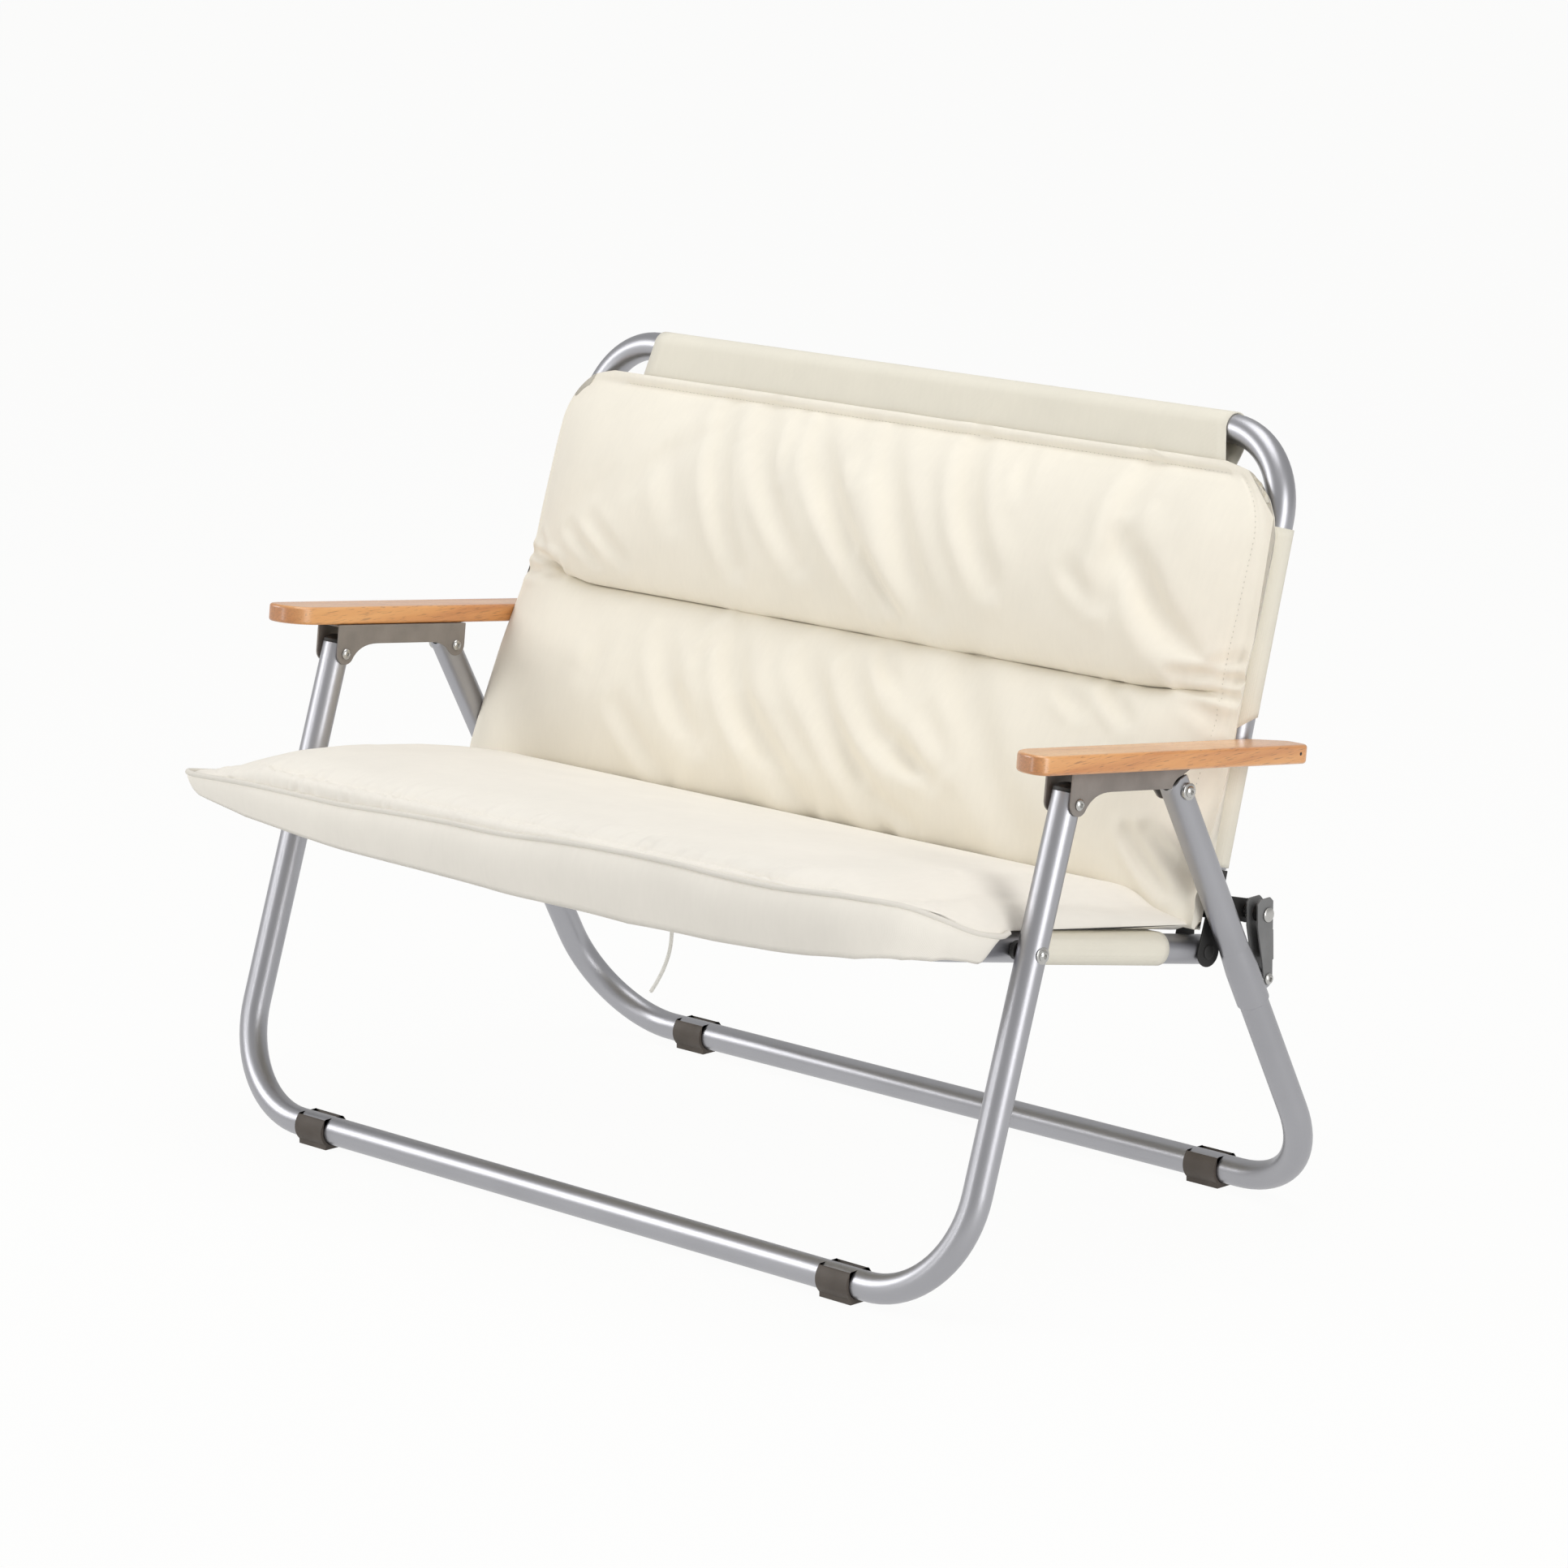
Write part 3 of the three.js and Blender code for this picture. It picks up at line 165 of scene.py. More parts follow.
def bar_centre(foot):
    low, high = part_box(foot)
    return Vector((0, (low.y + high.y) / 2, BAR_Z))


front_bar = bar_centre("front_foot_left")
rear_bar = bar_centre("rear_foot_left")
front_up = (arm_front - front_bar).normalized()
rear_up = (arm_rear - rear_bar).normalized()
link_up = (link_top - link_foot).normalized()
seat_pivot = arm_front - front_up * SEAT_BOLT_DOWN
seat_forward = (seat_pivot - hinge).normalized()
SEAT_PIVOT_AT = (seat_pivot - hinge).length
SEAT_BAR = SEAT_PIVOT_AT + SEAT_FRONT_REACH
FRONT_LEG = (arm_front - front_bar).length
REAR_LEG = (arm_rear - rear_bar).length


def placed(origin, tilt):
    return Matrix.Translation(origin) @ Matrix.Rotation(tilt, 4, "X")


def tilt_of(up):
    return -math.atan2(up.y, up.z)


LEVEL = Matrix.Identity(4)
FRONT = placed(arm_front, tilt_of(front_up))
REAR = placed(arm_rear, tilt_of(rear_up))
ARM = placed(arm_rear, -ARM_TILT)
LINK = placed(link_foot, tilt_of(link_up))
BACK = placed(hinge, -BACK_RECLINE)
SEAT = placed(hinge, math.atan2(-seat_forward.z, -seat_forward.y))
SIDES = (("left", -1), ("right", 1))


def put(name, data):
    """A new object in the scene."""
    made = bpy.data.objects.new(name, data)
    bpy.context.scene.collection.objects.link(made)
    return made


# Camera
IMAGE_SIDE = 1932
FOCAL_PIXELS = 7344.2
AXIS_PIXEL = (954.0, 1027.95)
VIEW_AZIMUTH = 0.7946
VIEW_ELEVATION = 0.2270
VIEW_ROLL = -0.0078
VIEW_DISTANCE = 5.7728
VIEW_TARGET = Vector((0.00007, arm_rear.y - 0.021, 0.32775))
SENSOR_WIDTH = 36


def add_camera():
    data = bpy.data.cameras.new("camera")
    data.sensor_width = SENSOR_WIDTH
    data.lens = FOCAL_PIXELS / IMAGE_SIDE * SENSOR_WIDTH
    data.shift_x = (IMAGE_SIDE / 2 - AXIS_PIXEL[0]) / IMAGE_SIDE
    data.shift_y = (AXIS_PIXEL[1] - IMAGE_SIDE / 2) / IMAGE_SIDE
    data.clip_end = 200
    camera = put("camera", data)
    aim = (Matrix.Rotation(VIEW_AZIMUTH, 4, "Z") @ Matrix.Rotation(math.pi / 2 - VIEW_ELEVATION, 4, "X")
           @ Matrix.Rotation(VIEW_ROLL, 4, "Z"))
    back_off = Matrix.Translation((0, 0, VIEW_DISTANCE))
    camera.matrix_world = Matrix.Translation(VIEW_TARGET) @ aim @ back_off
    bpy.context.scene.camera = camera


add_camera()


# Lines and curves
def unit(vectors):
    return vectors / np.linalg.norm(vectors, axis=-1, keepdims=True)


def steps_of(line):
    return np.linalg.norm(np.diff(np.asarray(line, float), axis=0), axis=1)


def run_of(line):
    """The distance along a line at each of its points."""
    return np.concatenate([[0], np.cumsum(steps_of(line))])


def along_line(at, run, line):
    return np.stack([np.interp(at, run, column) for column in line.T], axis=-1)


def smooth_line(points, count, steps=24):
    """Points spaced evenly along a smooth curve through the given ones."""
    p = np.asarray(points, float)
    p = np.concatenate([[2 * p[0] - p[1]], p, [2 * p[-1] - p[-2]]])
    t = np.linspace(0, 1, steps, endpoint=False)[:, None]
    runs = [b + 0.5 * t * (c - a + t * (2 * a - 5 * b + 4 * c - d + t * (3 * (b - c) + d - a)))
            for a, b, c, d in zip(p, p[1:], p[2:], p[3:])]
    dense = np.concatenate([*runs, p[-2:-1]])
    run = run_of(dense)
    return along_line(np.linspace(0, run[-1], count), run, dense)


def bend(before, corner, after, radius, count):
    """Points of the arc that rounds the corner between two straight runs."""
    before, corner, after = (np.asarray(p, float) for p in (before, corner, after))
    into = unit(corner - before)
    out = unit(after - corner)
    turn = math.acos(np.clip(into.dot(out), -1, 1))
    start = corner - into * radius * math.tan(turn / 2)
    inward = unit(out - into * into.dot(out))
    return [start + radius * (math.sin(angle) * into + (1 - math.cos(angle)) * inward)
            for angle in np.linspace(0, turn, count)]


def arc(centre, radius, start, end, count=12):
    angles = np.radians(np.linspace(start, end, count))
    return [(centre[0] + radius * math.cos(a), centre[1] + radius * math.sin(a)) for a in angles]


def curve_to(start, control, end, count=8):
    """Points of a quadratic curve after its start."""
    t = np.linspace(0, 1, count + 1)[1:, None]
    start, control, end = (np.asarray(p, float) for p in (start, control, end))
    return [tuple(p) for p in (1 - t) ** 2 * start + 2 * t * (1 - t) * control + t ** 2 * end]


def ease(value, low, high):
    q = np.clip((value - low) / (high - low), 0, 1)
    return q * q * (3 - 2 * q)


def points_of(x, y, z):
    """Points from coordinates, each of them an array or one value for all."""
    return np.stack(np.broadcast_arrays(x, y, z), axis=-1)


# Shapes: points and the faces between them
def grid_faces(rows, columns, closed=False):
    """Quads of a grid of points, row by row; closed joins each row's end to its start."""
    faces = []
    for row in range(rows - 1):
        low = row * columns
        high = low + columns
        for column in range(columns if closed else columns - 1):
            after = (column + 1) % columns
            faces.append((low + column, low + after, high + after, high + column))
    return faces


def stacked(rings, capped=True):
    """Rings of points joined into a tube, with a face over each end if capped."""
    rows, columns = len(rings), len(rings[0])
    faces = grid_faces(rows, columns, closed=True)
    if capped:
        last = (rows - 1) * columns
        faces += [tuple(range(columns - 1, -1, -1)), tuple(range(last, last + columns))]
    return np.concatenate(rings), faces


def circle(sides):
    return np.linspace(0, 2 * math.pi, sides, endpoint=False)


def ring(centre, radius, first=(1, 0, 0), second=(0, 1, 0), sides=TUBE_SIDES):
    """Points round a centre, in the plane of two directions."""
    angles = circle(sides)
    return centre + radius * (np.outer(np.cos(angles), first) + np.outer(np.sin(angles), second))


def sweep(points, radius, sides):
    """A round cord along points; its rings start off in any direction but along it."""
    tangents = unit(np.gradient(points, axis=0))
    normal = np.cross(tangents[0], (0.31, 0.52, 0.79))
    rings = []
    for point, tangent in zip(points, tangents):
        normal = unit(normal - tangent * normal.dot(tangent))
        rings.append(ring(point, radius, normal, np.cross(tangent, normal), sides))
    return stacked(rings)


def plate(outline, x_from, x_to):
    """A side outline of (y, z), going anticlockwise, thickened along x."""
    return stacked([[(x, y, z) for y, z in outline] for x in (x_from, x_to)])


def box_shape(x, half, y_from, y_to, z_from, z_to):
    """A box that reaches half to either side of x."""
    outline = [(y_from, z_from), (y_to, z_from), (y_to, z_to), (y_from, z_to)]
    return plate(outline, x - half, x + half)


def turned(profile, sides=36, hexagon_from=None):
    """Rings of (radius, x) round the x axis; from ring hexagon_from on, they have six sides."""
    angles = circle(sides)
    sector = math.pi / 3
    six_sided = math.cos(sector / 2) / np.cos((angles % sector) - sector / 2)
    rings = []
    for i, (radius, x) in enumerate(profile):
        rim = radius * (six_sided if hexagon_from is not None and i >= hexagon_from else np.ones(sides))
        rings.append(points_of(x, rim * np.cos(angles), rim * np.sin(angles)))
    return stacked(rings)


def moved(shape, x=0.0, y=0.0, z=0.0):
    points, faces = shape
    return points + np.array((x, y, z)), faces


def sided(shape, side):
    """A shape drawn for the right; side -1 turns it over for the left."""
    points, faces = shape
    return points * np.array((side, 1, 1)), [face[::side] for face in faces]


class Piece:
    """Points and faces of one piece, gathered from several shapes with their own materials."""

    def __init__(self, *shapes):
        self.points = []
        self.faces = []
        self.looks = []
        for shape in shapes:
            self.add(*shape)

    def add(self, points, faces, look=0):
        start = len(self.points)
        self.points.extend(tuple(float(c) for c in p) for p in points)
        self.faces.extend(tuple(start + i for i in face) for face in faces)
        self.looks.extend([look] * len(faces))

    def make(self, name, looks, body, place, slot, stands_for=None, sharp=35, bevel=0, segments=2):
        """The piece as an object that rides its body and stands for a node of the CAD."""
        mesh = bpy.data.meshes.new(name)
        mesh.from_pydata(self.points, [], self.faces)
        mesh.transform(place)
        for look in looks:
            mesh.materials.append(look)
        mesh.polygons.foreach_set("material_index", self.looks)
        mesh.polygons.foreach_set("use_smooth", [True] * len(mesh.polygons))
        mesh.validate()
        mesh.update()
        made = put(name, mesh)
        if bevel:
            round_edges(made, bevel, segments, sharp).harden_normals = True
        else:
            mesh.set_sharp_from_angle(angle=math.radians(sharp))
        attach(made, body)
        if stands_for:
            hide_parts(stands_for)
        return made


def pair(name, shapes, look, body, place, slot, stands_for=None, **edges):
    """A piece on the left and one on the right, from shapes drawn for the right."""
    for label, side in SIDES:
        piece = Piece(*(sided(shape, side) for shape in shapes))
        node_name = stands_for and f"{stands_for}_{label}"
        piece.make(f"{name}_{label}", [look], body, place, slot, node_name, **edges)


def round_edges(made, width, segments, sharp):
    edge = made.modifiers.new("rounded edges", "BEVEL")
    edge.width = width
    edge.segments = segments
    edge.limit_method = "ANGLE"
    edge.angle_limit = math.radians(sharp)
    return edge


def thicken(made):
    thick = made.modifiers.new("cloth thickness", "SOLIDIFY")
    thick.thickness = CLOTH
    thick.offset = 0


# Materials
def link(tree, value, socket):
    """Sets a socket to a value, or links it from another node's output."""
    if isinstance(value, bpy.types.NodeSocket):
        tree.links.new(value, socket)
    else:
        socket.default_value = value


def feed(tree, target, **named):
    """Sets or links a node's inputs by name."""
    for name, value in named.items():
        link(tree, value, target.inputs[name.replace("_", " ")])


def node(tree, kind, *ordered, **named):
    """A new shader node; its inputs are given in order or by name."""
    new = tree.nodes.new("ShaderNode" + kind)
    for socket, value in zip(new.inputs, ordered):
        link(tree, value, socket)
    feed(tree, new, **named)
    return new


def material(name, **sockets):
    made = bpy.data.materials.new(name)
    made.use_nodes = True
    tree = made.node_tree
    shader = tree.nodes["Principled BSDF"]
    feed(tree, shader, **sockets)
    return made, tree, shader


def places(tree, scale=(1, 1, 1), turn=(0, 0, 0)):
    """Object coordinates, turned and then stretched by scale."""
    coordinates = node(tree, "TexCoord").outputs["Object"]
    turned_to = node(tree, "Mapping", Vector=coordinates, Rotation=turn)
    return node(tree, "Mapping", Vector=turned_to.outputs[0], Scale=scale).outputs[0]


def noise(tree, scale, detail=3, vector=None, roughness=0.5):
    return node(tree, "TexNoise", Vector=vector or places(tree), Scale=scale, Detail=detail,
                Roughness=roughness).outputs["Fac"]


def ramp(tree, factor, *stops):
    """A colour ramp over stops of (position, colour or grey level)."""
    new = node(tree, "ValToRGB", Fac=factor)
    elements = new.color_ramp.elements
    elements[0].position = stops[0][0]
    elements[1].position = stops[-1][0]
    for position, _ in stops[1:-1]:
        elements.new(position)
    for element, (_, value) in zip(elements, stops):
        element.color = (*value, 1) if isinstance(value, tuple) else (value, value, value, 1)
    return new.outputs["Color"]


def math_node(tree, operation, first, second):
    new = node(tree, "Math", first, second)
    new.operation = operation
    return new.outputs[0]


def mixed(tree, blend, factor, first, second):
    """Two colours mixed by a factor."""
    new = node(tree, "Mix", Factor=factor)
    new.data_type = "RGBA"
    new.blend_type = blend
    link(tree, first, new.inputs[6])
    link(tree, second, new.inputs[7])
    return new.outputs[2]


def bump(tree, height, strength, distance):
    return node(tree, "Bump", Height=height, Strength=strength, Distance=distance).outputs[0]


def srgb(red, green, blue):
    """A colour as seen on screen, from 0 to 255, as linear light."""
    return tuple(((c / 255 + 0.055) / 1.055) ** 2.4 for c in (red, green, blue))


def shade(colour, share):
    return tuple(c * share for c in colour)


def metal_look(name, colour, roughness, spread, grain, bump_strength):
    """Satin metal: fine grain in the gloss and faint cloudiness in the colour."""
    made, tree, shader = material(name, Metallic=1.0)
    cloud = noise(tree, 9, 4)
    fine = noise(tree, grain, 4)
    feed(tree, shader,
         Base_Color=ramp(tree, cloud, (0.3, shade(colour, 0.95)), (0.7, shade(colour, 1.04))),
         Roughness=ramp(tree, fine, (0.3, roughness - spread), (0.7, roughness + spread)),
         Normal=bump(tree, fine, bump_strength, 0.0002))
    return made


def painted_look(name, colour, roughness, grain=1400, strength=0.25, metallic=0.0):
    """Powder paint or moulded plastic: an orange-peel bump and slightly rubbed patches."""
    made, tree, shader = material(name, Metallic=metallic)
    patches = noise(tree, 35, 5)
    feed(tree, shader,
         Base_Color=ramp(tree, patches, (0.3, shade(colour, 0.86)), (0.72, shade(colour, 1.12))),
         Roughness=ramp(tree, patches, (0.3, roughness + 0.08), (0.7, roughness - 0.06)),
         Normal=bump(tree, noise(tree, grain, 2), strength, 0.0004))
    return made


WOOD_LIGHT = srgb(229, 167, 101)
WOOD_MID = srgb(217, 150, 83)
WOOD_DARK = srgb(188, 117, 60)


def wood_look():
    """Oiled beech: long growth bands, open pores along the board and rings on its ends."""
    made, tree, shader = material("oiled_wood", Coat_Weight=1.0, Coat_Roughness=0.26, Coat_IOR=1.6)
    bands = noise(tree, 1.0, 5, places(tree, scale=(34, 2.2, 34)), 0.62)
    colour = ramp(tree, bands, (0.28, WOOD_DARK), (0.46, WOOD_MID), (0.66, WOOD_LIGHT))
    pores = noise(tree, 1.0, 2, places(tree, scale=(900, 60, 900)))
    pore_mask = ramp(tree, pores, (0.30, 0.0), (0.42, 1.0))
    sides = mixed(tree, "MULTIPLY", 0.42, colour, pore_mask)
    facing = node(tree, "SeparateXYZ", Vector=node(tree, "TexCoord").outputs["Normal"])
    across_end = math_node(tree, "ABSOLUTE", facing.outputs["Y"], 0.0)
    end_noise = noise(tree, 1.0, 4, places(tree, scale=(520, 40, 900)))
    rings = ramp(tree, end_noise, (0.35, shade(WOOD_DARK, 0.6)), (0.65, shade(WOOD_DARK, 0.95)))
    ends = ramp(tree, across_end, (0.35, 0.0), (0.9, 0.75))
    feed(tree, shader, Base_Color=mixed(tree, "MIX", ends, sides, rings),
         Roughness=ramp(tree, bands, (0.3, 0.52), (0.7, 0.4)), Normal=bump(tree, pore_mask, 0.25, 0.0003))
    return made


def cloth_look(name, colour, pitch, turn, weave_strength):
    """Plain weave: threads both ways at the pitch, with slubs and faint uneven dye."""
    made, tree, shader = material(name, Roughness=0.88, Sheen_Weight=0.15, Sheen_Roughness=0.5,
                                  Specular_IOR_Level=0.25)
    threads = []
    for direction in ("X", "Z"):
        wave = node(tree, "TexWave", Vector=places(tree, turn=turn),
                    Scale=2 * math.pi / (20 * pitch), Distortion=0.6, Detail=1.0)
        wave.bands_direction = direction
        threads.append(wave.outputs["Fac"])
    weave = math_node(tree, "MULTIPLY", *threads)
    slubs = noise(tree, 260, 3, places(tree, scale=(1, 0.2, 0.2), turn=turn))
    tone = math_node(tree, "ADD", math_node(tree, "MULTIPLY", noise(tree, 14, 4), 0.7),
                     math_node(tree, "MULTIPLY", slubs, 0.3))
    height = math_node(tree, "ADD", weave, math_node(tree, "MULTIPLY", slubs, 0.6))
    feed(tree, shader,
         Base_Color=ramp(tree, tone, (0.3, shade(colour, 0.965)), (0.7, shade(colour, 1.02))),
         Normal=bump(tree, height, weave_strength, 0.0006))
    return made


CREAM = srgb(241, 235, 221)
SEAT_CREAM = srgb(241, 236, 226)
CANVAS_CREAM = srgb(233, 228, 213)
aluminium = metal_look("satin_aluminium", srgb(168, 168, 172), 0.37, 0.04, 900, 0.03)
steel = metal_look("bright_steel", srgb(186, 185, 182), 0.26, 0.05, 500, 0.05)
bracket_paint = painted_look("taupe_paint", srgb(134, 127, 121), 0.42, metallic=0.15)
link_paint = painted_look("grey_paint", srgb(116, 116, 116), 0.42, metallic=0.15)
black_plastic = painted_look("black_plastic", srgb(38, 37, 36), 0.55)
foot_plastic = painted_look("taupe_plastic", srgb(86, 78, 71), 0.6, 700, 0.35)
wood = wood_look()
cushion_cloth = cloth_look("cushion_cloth", CREAM, 0.0007, (0, 0, 0), 0.18)
seat_cover = cloth_look("seat_cover_cloth", SEAT_CREAM, 0.0007, (0, 0, 0), 0.18)
canvas = cloth_look("canvas", CANVAS_CREAM, 0.0009, (BACK_RECLINE, 0, 0), 0.3)
# The piping cloth is the seat cover's cream made 12 % darker: painted shade for the dark line along the
# piping
piping_painted_shade_cloth = cloth_look("piping_painted_shade_cloth", shade(SEAT_CREAM, 0.88), 0.0006, (0.6, 0.4, 0), 0.25)
# The stitch thread is the cushion cream made 24 % darker: partly the thread's own colour and partly
# painted shade for the dark seam line
stitch_thread_painted_shade = cloth_look("stitch_thread_painted_shade", shade(CREAM, 0.76), 0.0004, (0.5, 0.5, 0.5), 0.3)
cord_braid = cloth_look("cord_braid", srgb(243, 241, 234), 0.0009, (0.7, 0, 0), 0.5)


# Tubes
def u_corners(half, near, far, flat=False):
    corners = [(-half, near), (-half, far), (half, far), (half, near)]
    return [(x, v, 0) if flat else (x, 0, v) for x, v in corners]


def leg_bow(y):
    """How far up the rounded end of a leg reaches, as a share, at y from the tube's middle."""
    return np.sqrt(np.clip(1 - (y / TUBE_RADIUS) ** 2, 0, 1))


def tube_piece(name, corners, bend_radius, body, place, node_name, tongue=0.0):
    """A U tube with open ends that show its wall; tongue rounds the ends in side view."""
    start, first, second, end = np.asarray(corners, float)
    bends = [*bend(start, first, second, bend_radius, BEND_STEPS),
             *bend(first, second, end, bend_radius, BEND_STEPS)]
    into_start = unit(bends[0] - start)
    into_end = unit(bends[-1] - end)
    lip = TUBE_WALL / 3
    path = np.array([
        start + into_start * TUBE_HOLLOW, start, start, start + into_start * lip, *bends,
        end + into_end * lip, end, end, end + into_end * TUBE_HOLLOW,
    ])
    radii = np.full(len(path), TUBE_RADIUS)
    radii[[0, 1, -2, -1]] = TUBE_RADIUS - TUBE_WALL
    radii[[2, -3]] = TUBE_RADIUS - lip
    tangents = np.gradient(path[3:-3], axis=0)
    tangents = unit(np.concatenate([[tangents[0]] * 3, tangents, [tangents[-1]] * 3]))
    across = unit(np.cross(path[len(path) // 2 - 1] - path[3], path[-4] - path[3]))
    rings = [ring(point, radius, across, np.cross(tangent, across))
             for point, tangent, radius in zip(path, tangents, radii)]
    if tongue:
        for end_ring in (*rings[:4], *rings[-4:]):
            end_ring[:, 2] += tongue * leg_bow(end_ring[:, 1]) - LEG_TOP
    Piece(stacked(rings)).make(name, [aluminium], body, place, "tube", node_name)


tube_piece("front_tube", u_corners(LEG_X, LEG_TOP, -FRONT_LEG), LEG_BEND,
           "front_legs", FRONT, "front_frame")
tube_piece("rear_tube", u_corners(LEG_X, LEG_TOP, -REAR_LEG), LEG_BEND,
           "rear_legs", REAR, "rear_frame", LEG_TONGUE)
tube_piece("back_tube", u_corners(RAIL_X, BACK_TUBE_START, BACK_HEIGHT), BACK_BEND,
           "back", BACK, "back_frame")
tube_piece("seat_tube", u_corners(RAIL_X, RAIL_TAIL, -SEAT_BAR, flat=True), SEAT_BEND,
           "seat", SEAT, "seat_frame")

# End plugs: sunk rims as (share of the radius, depth), and domed ones as shares
PLUG_RADIUS = TUBE_RADIUS - TUBE_WALL - CLEARANCE / 2
PLUG_DEPTH = 0.006
SUNK_RIMS = ((1, PLUG_DEPTH), (1, 0.0012), (0.93, 0.0006), (0.5, 0.0004), (0.05, 0.0004))
DOME_RIMS = (1, 0.93, 0.8, 0.6, 0.35, 0.1)


def rear_plug():
    """A black end piece, sunk in the rounded end of a rear leg."""
    rings = []
    for share, sink in SUNK_RIMS:
        rim = ring((0, 0, 0), share * PLUG_RADIUS)
        rim[:, 2] = LEG_TONGUE * leg_bow(rim[:, 1]) - sink
        rings.append(rim)
    return stacked(rings)


def front_plug():
    """A black end piece, domed on the end of a front leg."""
    rims = [(PLUG_RADIUS, LEG_TOP - PLUG_DEPTH), (PLUG_RADIUS, LEG_TOP),
            (TUBE_RADIUS, LEG_TOP + 0.0001)]
    for share in DOME_RIMS:
        radius = share * TUBE_RADIUS
        rims.append((radius, math.sqrt(CAP_SWING ** 2 - radius ** 2)))
    return stacked([ring((0, 0, height), radius) for radius, height in rims])


for end, plug, place in (("front", front_plug(), FRONT), ("rear", rear_plug(), REAR)):
    for label, side in SIDES:
        piece = Piece(moved(plug, x=side * LEG_X))
        piece.make(f"{end}_leg_insert_{label}", [black_plastic], f"{end}_legs", place, "black_fitting",
                   f"{end}_leg_plug_{label}")


# Feet
def foot_outline():
    inner = TUBE_RADIUS + CLEARANCE
    outer = inner + FOOT_WALL
    mouth_in = math.degrees(math.asin(FOOT_MOUTH / inner))
    mouth_out = math.degrees(math.asin(FOOT_MOUTH / outer))
    shoe = math.degrees(math.acos(FOOT_HALF_DEPTH / outer))
    lip = (FOOT_MOUTH + FOOT_LIP, (inner + outer) / 2 * math.cos(math.radians(mouth_out)))
    right = [lip, *arc((0, 0), outer, 90 - mouth_out - 3, -shoe, 16), (FOOT_HALF_DEPTH, -BAR_Z)]
    left = [(-y, z) for y, z in reversed(right)]
    hollow = arc((0, 0), inner, 90 + mouth_in, 450 - mouth_in, 26)
    return [*hollow, *right, *left]


for end, bar in (("front", front_bar), ("rear", rear_bar)):
    x = LEG_X - FOOT_INSET[end]
    shape = plate(foot_outline(), x - FOOT_LENGTH / 2, x + FOOT_LENGTH / 2)
    pair(f"{end}_foot_clip", [moved(shape, y=bar.y, z=bar.z)], foot_plastic, f"{end}_legs", LEVEL,
         "foot", f"{end}_foot", bevel=FOOT_EDGE, segments=3)


# Armrests
def arm_board():
    clip_x, clip_y = ARM_TAIL_CLIP
    corners = [
        (ARM_INNER_X, -ARM_FRONT_REACH, ARM_INNER_ROUND),
        (ARM_OUTER_X, -ARM_FRONT_REACH, ARM_NOSE_ROUND),
        (ARM_OUTER_X, ARM_REAR_REACH, ARM_TAIL_ROUND),
        (ARM_INNER_X + clip_x, ARM_REAR_REACH, ARM_TAIL_ROUND),
        (ARM_INNER_X, ARM_REAR_REACH - clip_y, ARM_TAIL_ROUND),
    ]
    outline = []
    for i, (x, y, radius) in enumerate(corners):
        after = corners[(i + 1) % len(corners)]
        outline += bend(corners[i - 1][:2], (x, y), after[:2], radius, 9)
    return stacked([[(x, y, z) for x, y in outline]
                    for z in (ARM_SEAT_HEIGHT, ARM_SEAT_HEIGHT + ARM_THICKNESS)])


def dowel():
    """A small filler dot on the outer face of the board, near its rear end."""
    profile = [(DOWEL_RADIUS, -DOWEL_DEPTH), (DOWEL_RADIUS, DOWEL_PROUD / 2),
               (DOWEL_RADIUS * 0.6, DOWEL_PROUD)]
    return moved(turned(profile, 16), ARM_OUTER_X, ARM_REAR_REACH - DOWEL_FROM_REAR,
                 ARM_SEAT_HEIGHT + DOWEL_HEIGHT)


front_pivot_in_arm = ARM.inverted() @ arm_front
front_y, front_z = front_pivot_in_arm.y, front_pivot_in_arm.z


def bracket_outline(with_rear_ear):
    """Side view of a bracket plate; the outer one stops short of the rear leg."""
    lean = math.radians(EAR_LEAN)
    ear_y, ear_z = EAR_RADIUS * math.cos(lean), EAR_RADIUS * math.sin(lean)
    front_ear = arc((front_y, front_z), EAR_RADIUS, -180, -EAR_LEAN, 14)
    rise = curve_to(front_ear[-1], (front_y + 2 * ear_y, ARCH_HEIGHT),
                    (front_y + ARCH_FRONT, ARCH_HEIGHT))
    outline = [(front_y - EAR_RADIUS, CHANNEL_TOP), *front_ear, *rise]
    if with_rear_ear:
        arch_end = (-ARCH_REAR, ARCH_HEIGHT)
        fall = curve_to(arch_end, (-2 * ear_y, ARCH_HEIGHT), (-ear_y, -ear_z))
        ear = arc((0, 0), EAR_RADIUS, EAR_LEAN - 180, 0, 14)
        return [*outline, arch_end, *fall, *ear[1:], (EAR_RADIUS, CHANNEL_TOP)]
    hollow = arc((-PLATE_STOP, 0), PLATE_HOLLOW, 168, 100, 10)
    arch_end = (-PLATE_STOP - TUBE_RADIUS * 1.5, ARCH_HEIGHT)
    return [*outline, arch_end, *hollow, (PLATE_TIP, CHANNEL_TOP)]


arm_channel = [
    plate(bracket_outline(False), LEG_X + CHANNEL_INNER, LEG_X + CHANNEL_OUTER),
    plate(bracket_outline(True), LEG_X - CHANNEL_OUTER, LEG_X - CHANNEL_INNER),
    box_shape(LEG_X, CHANNEL_OUTER - 0.0004, front_y - EAR_RADIUS, EAR_RADIUS,
              CHANNEL_TOP - SHEET, CHANNEL_TOP - 0.0002),
]
pair("arm_board", [arm_board()], wood, "arms", ARM, "arm_wood", "armrest", bevel=ARM_EDGE, segments=5)
pair("arm_dowel", [dowel()], black_plastic, "arms", ARM, "black_fitting")
pair("arm_channel", arm_channel, bracket_paint, "arms", ARM, "bracket", "arm_bracket",
     bevel=SHEET_EDGE)


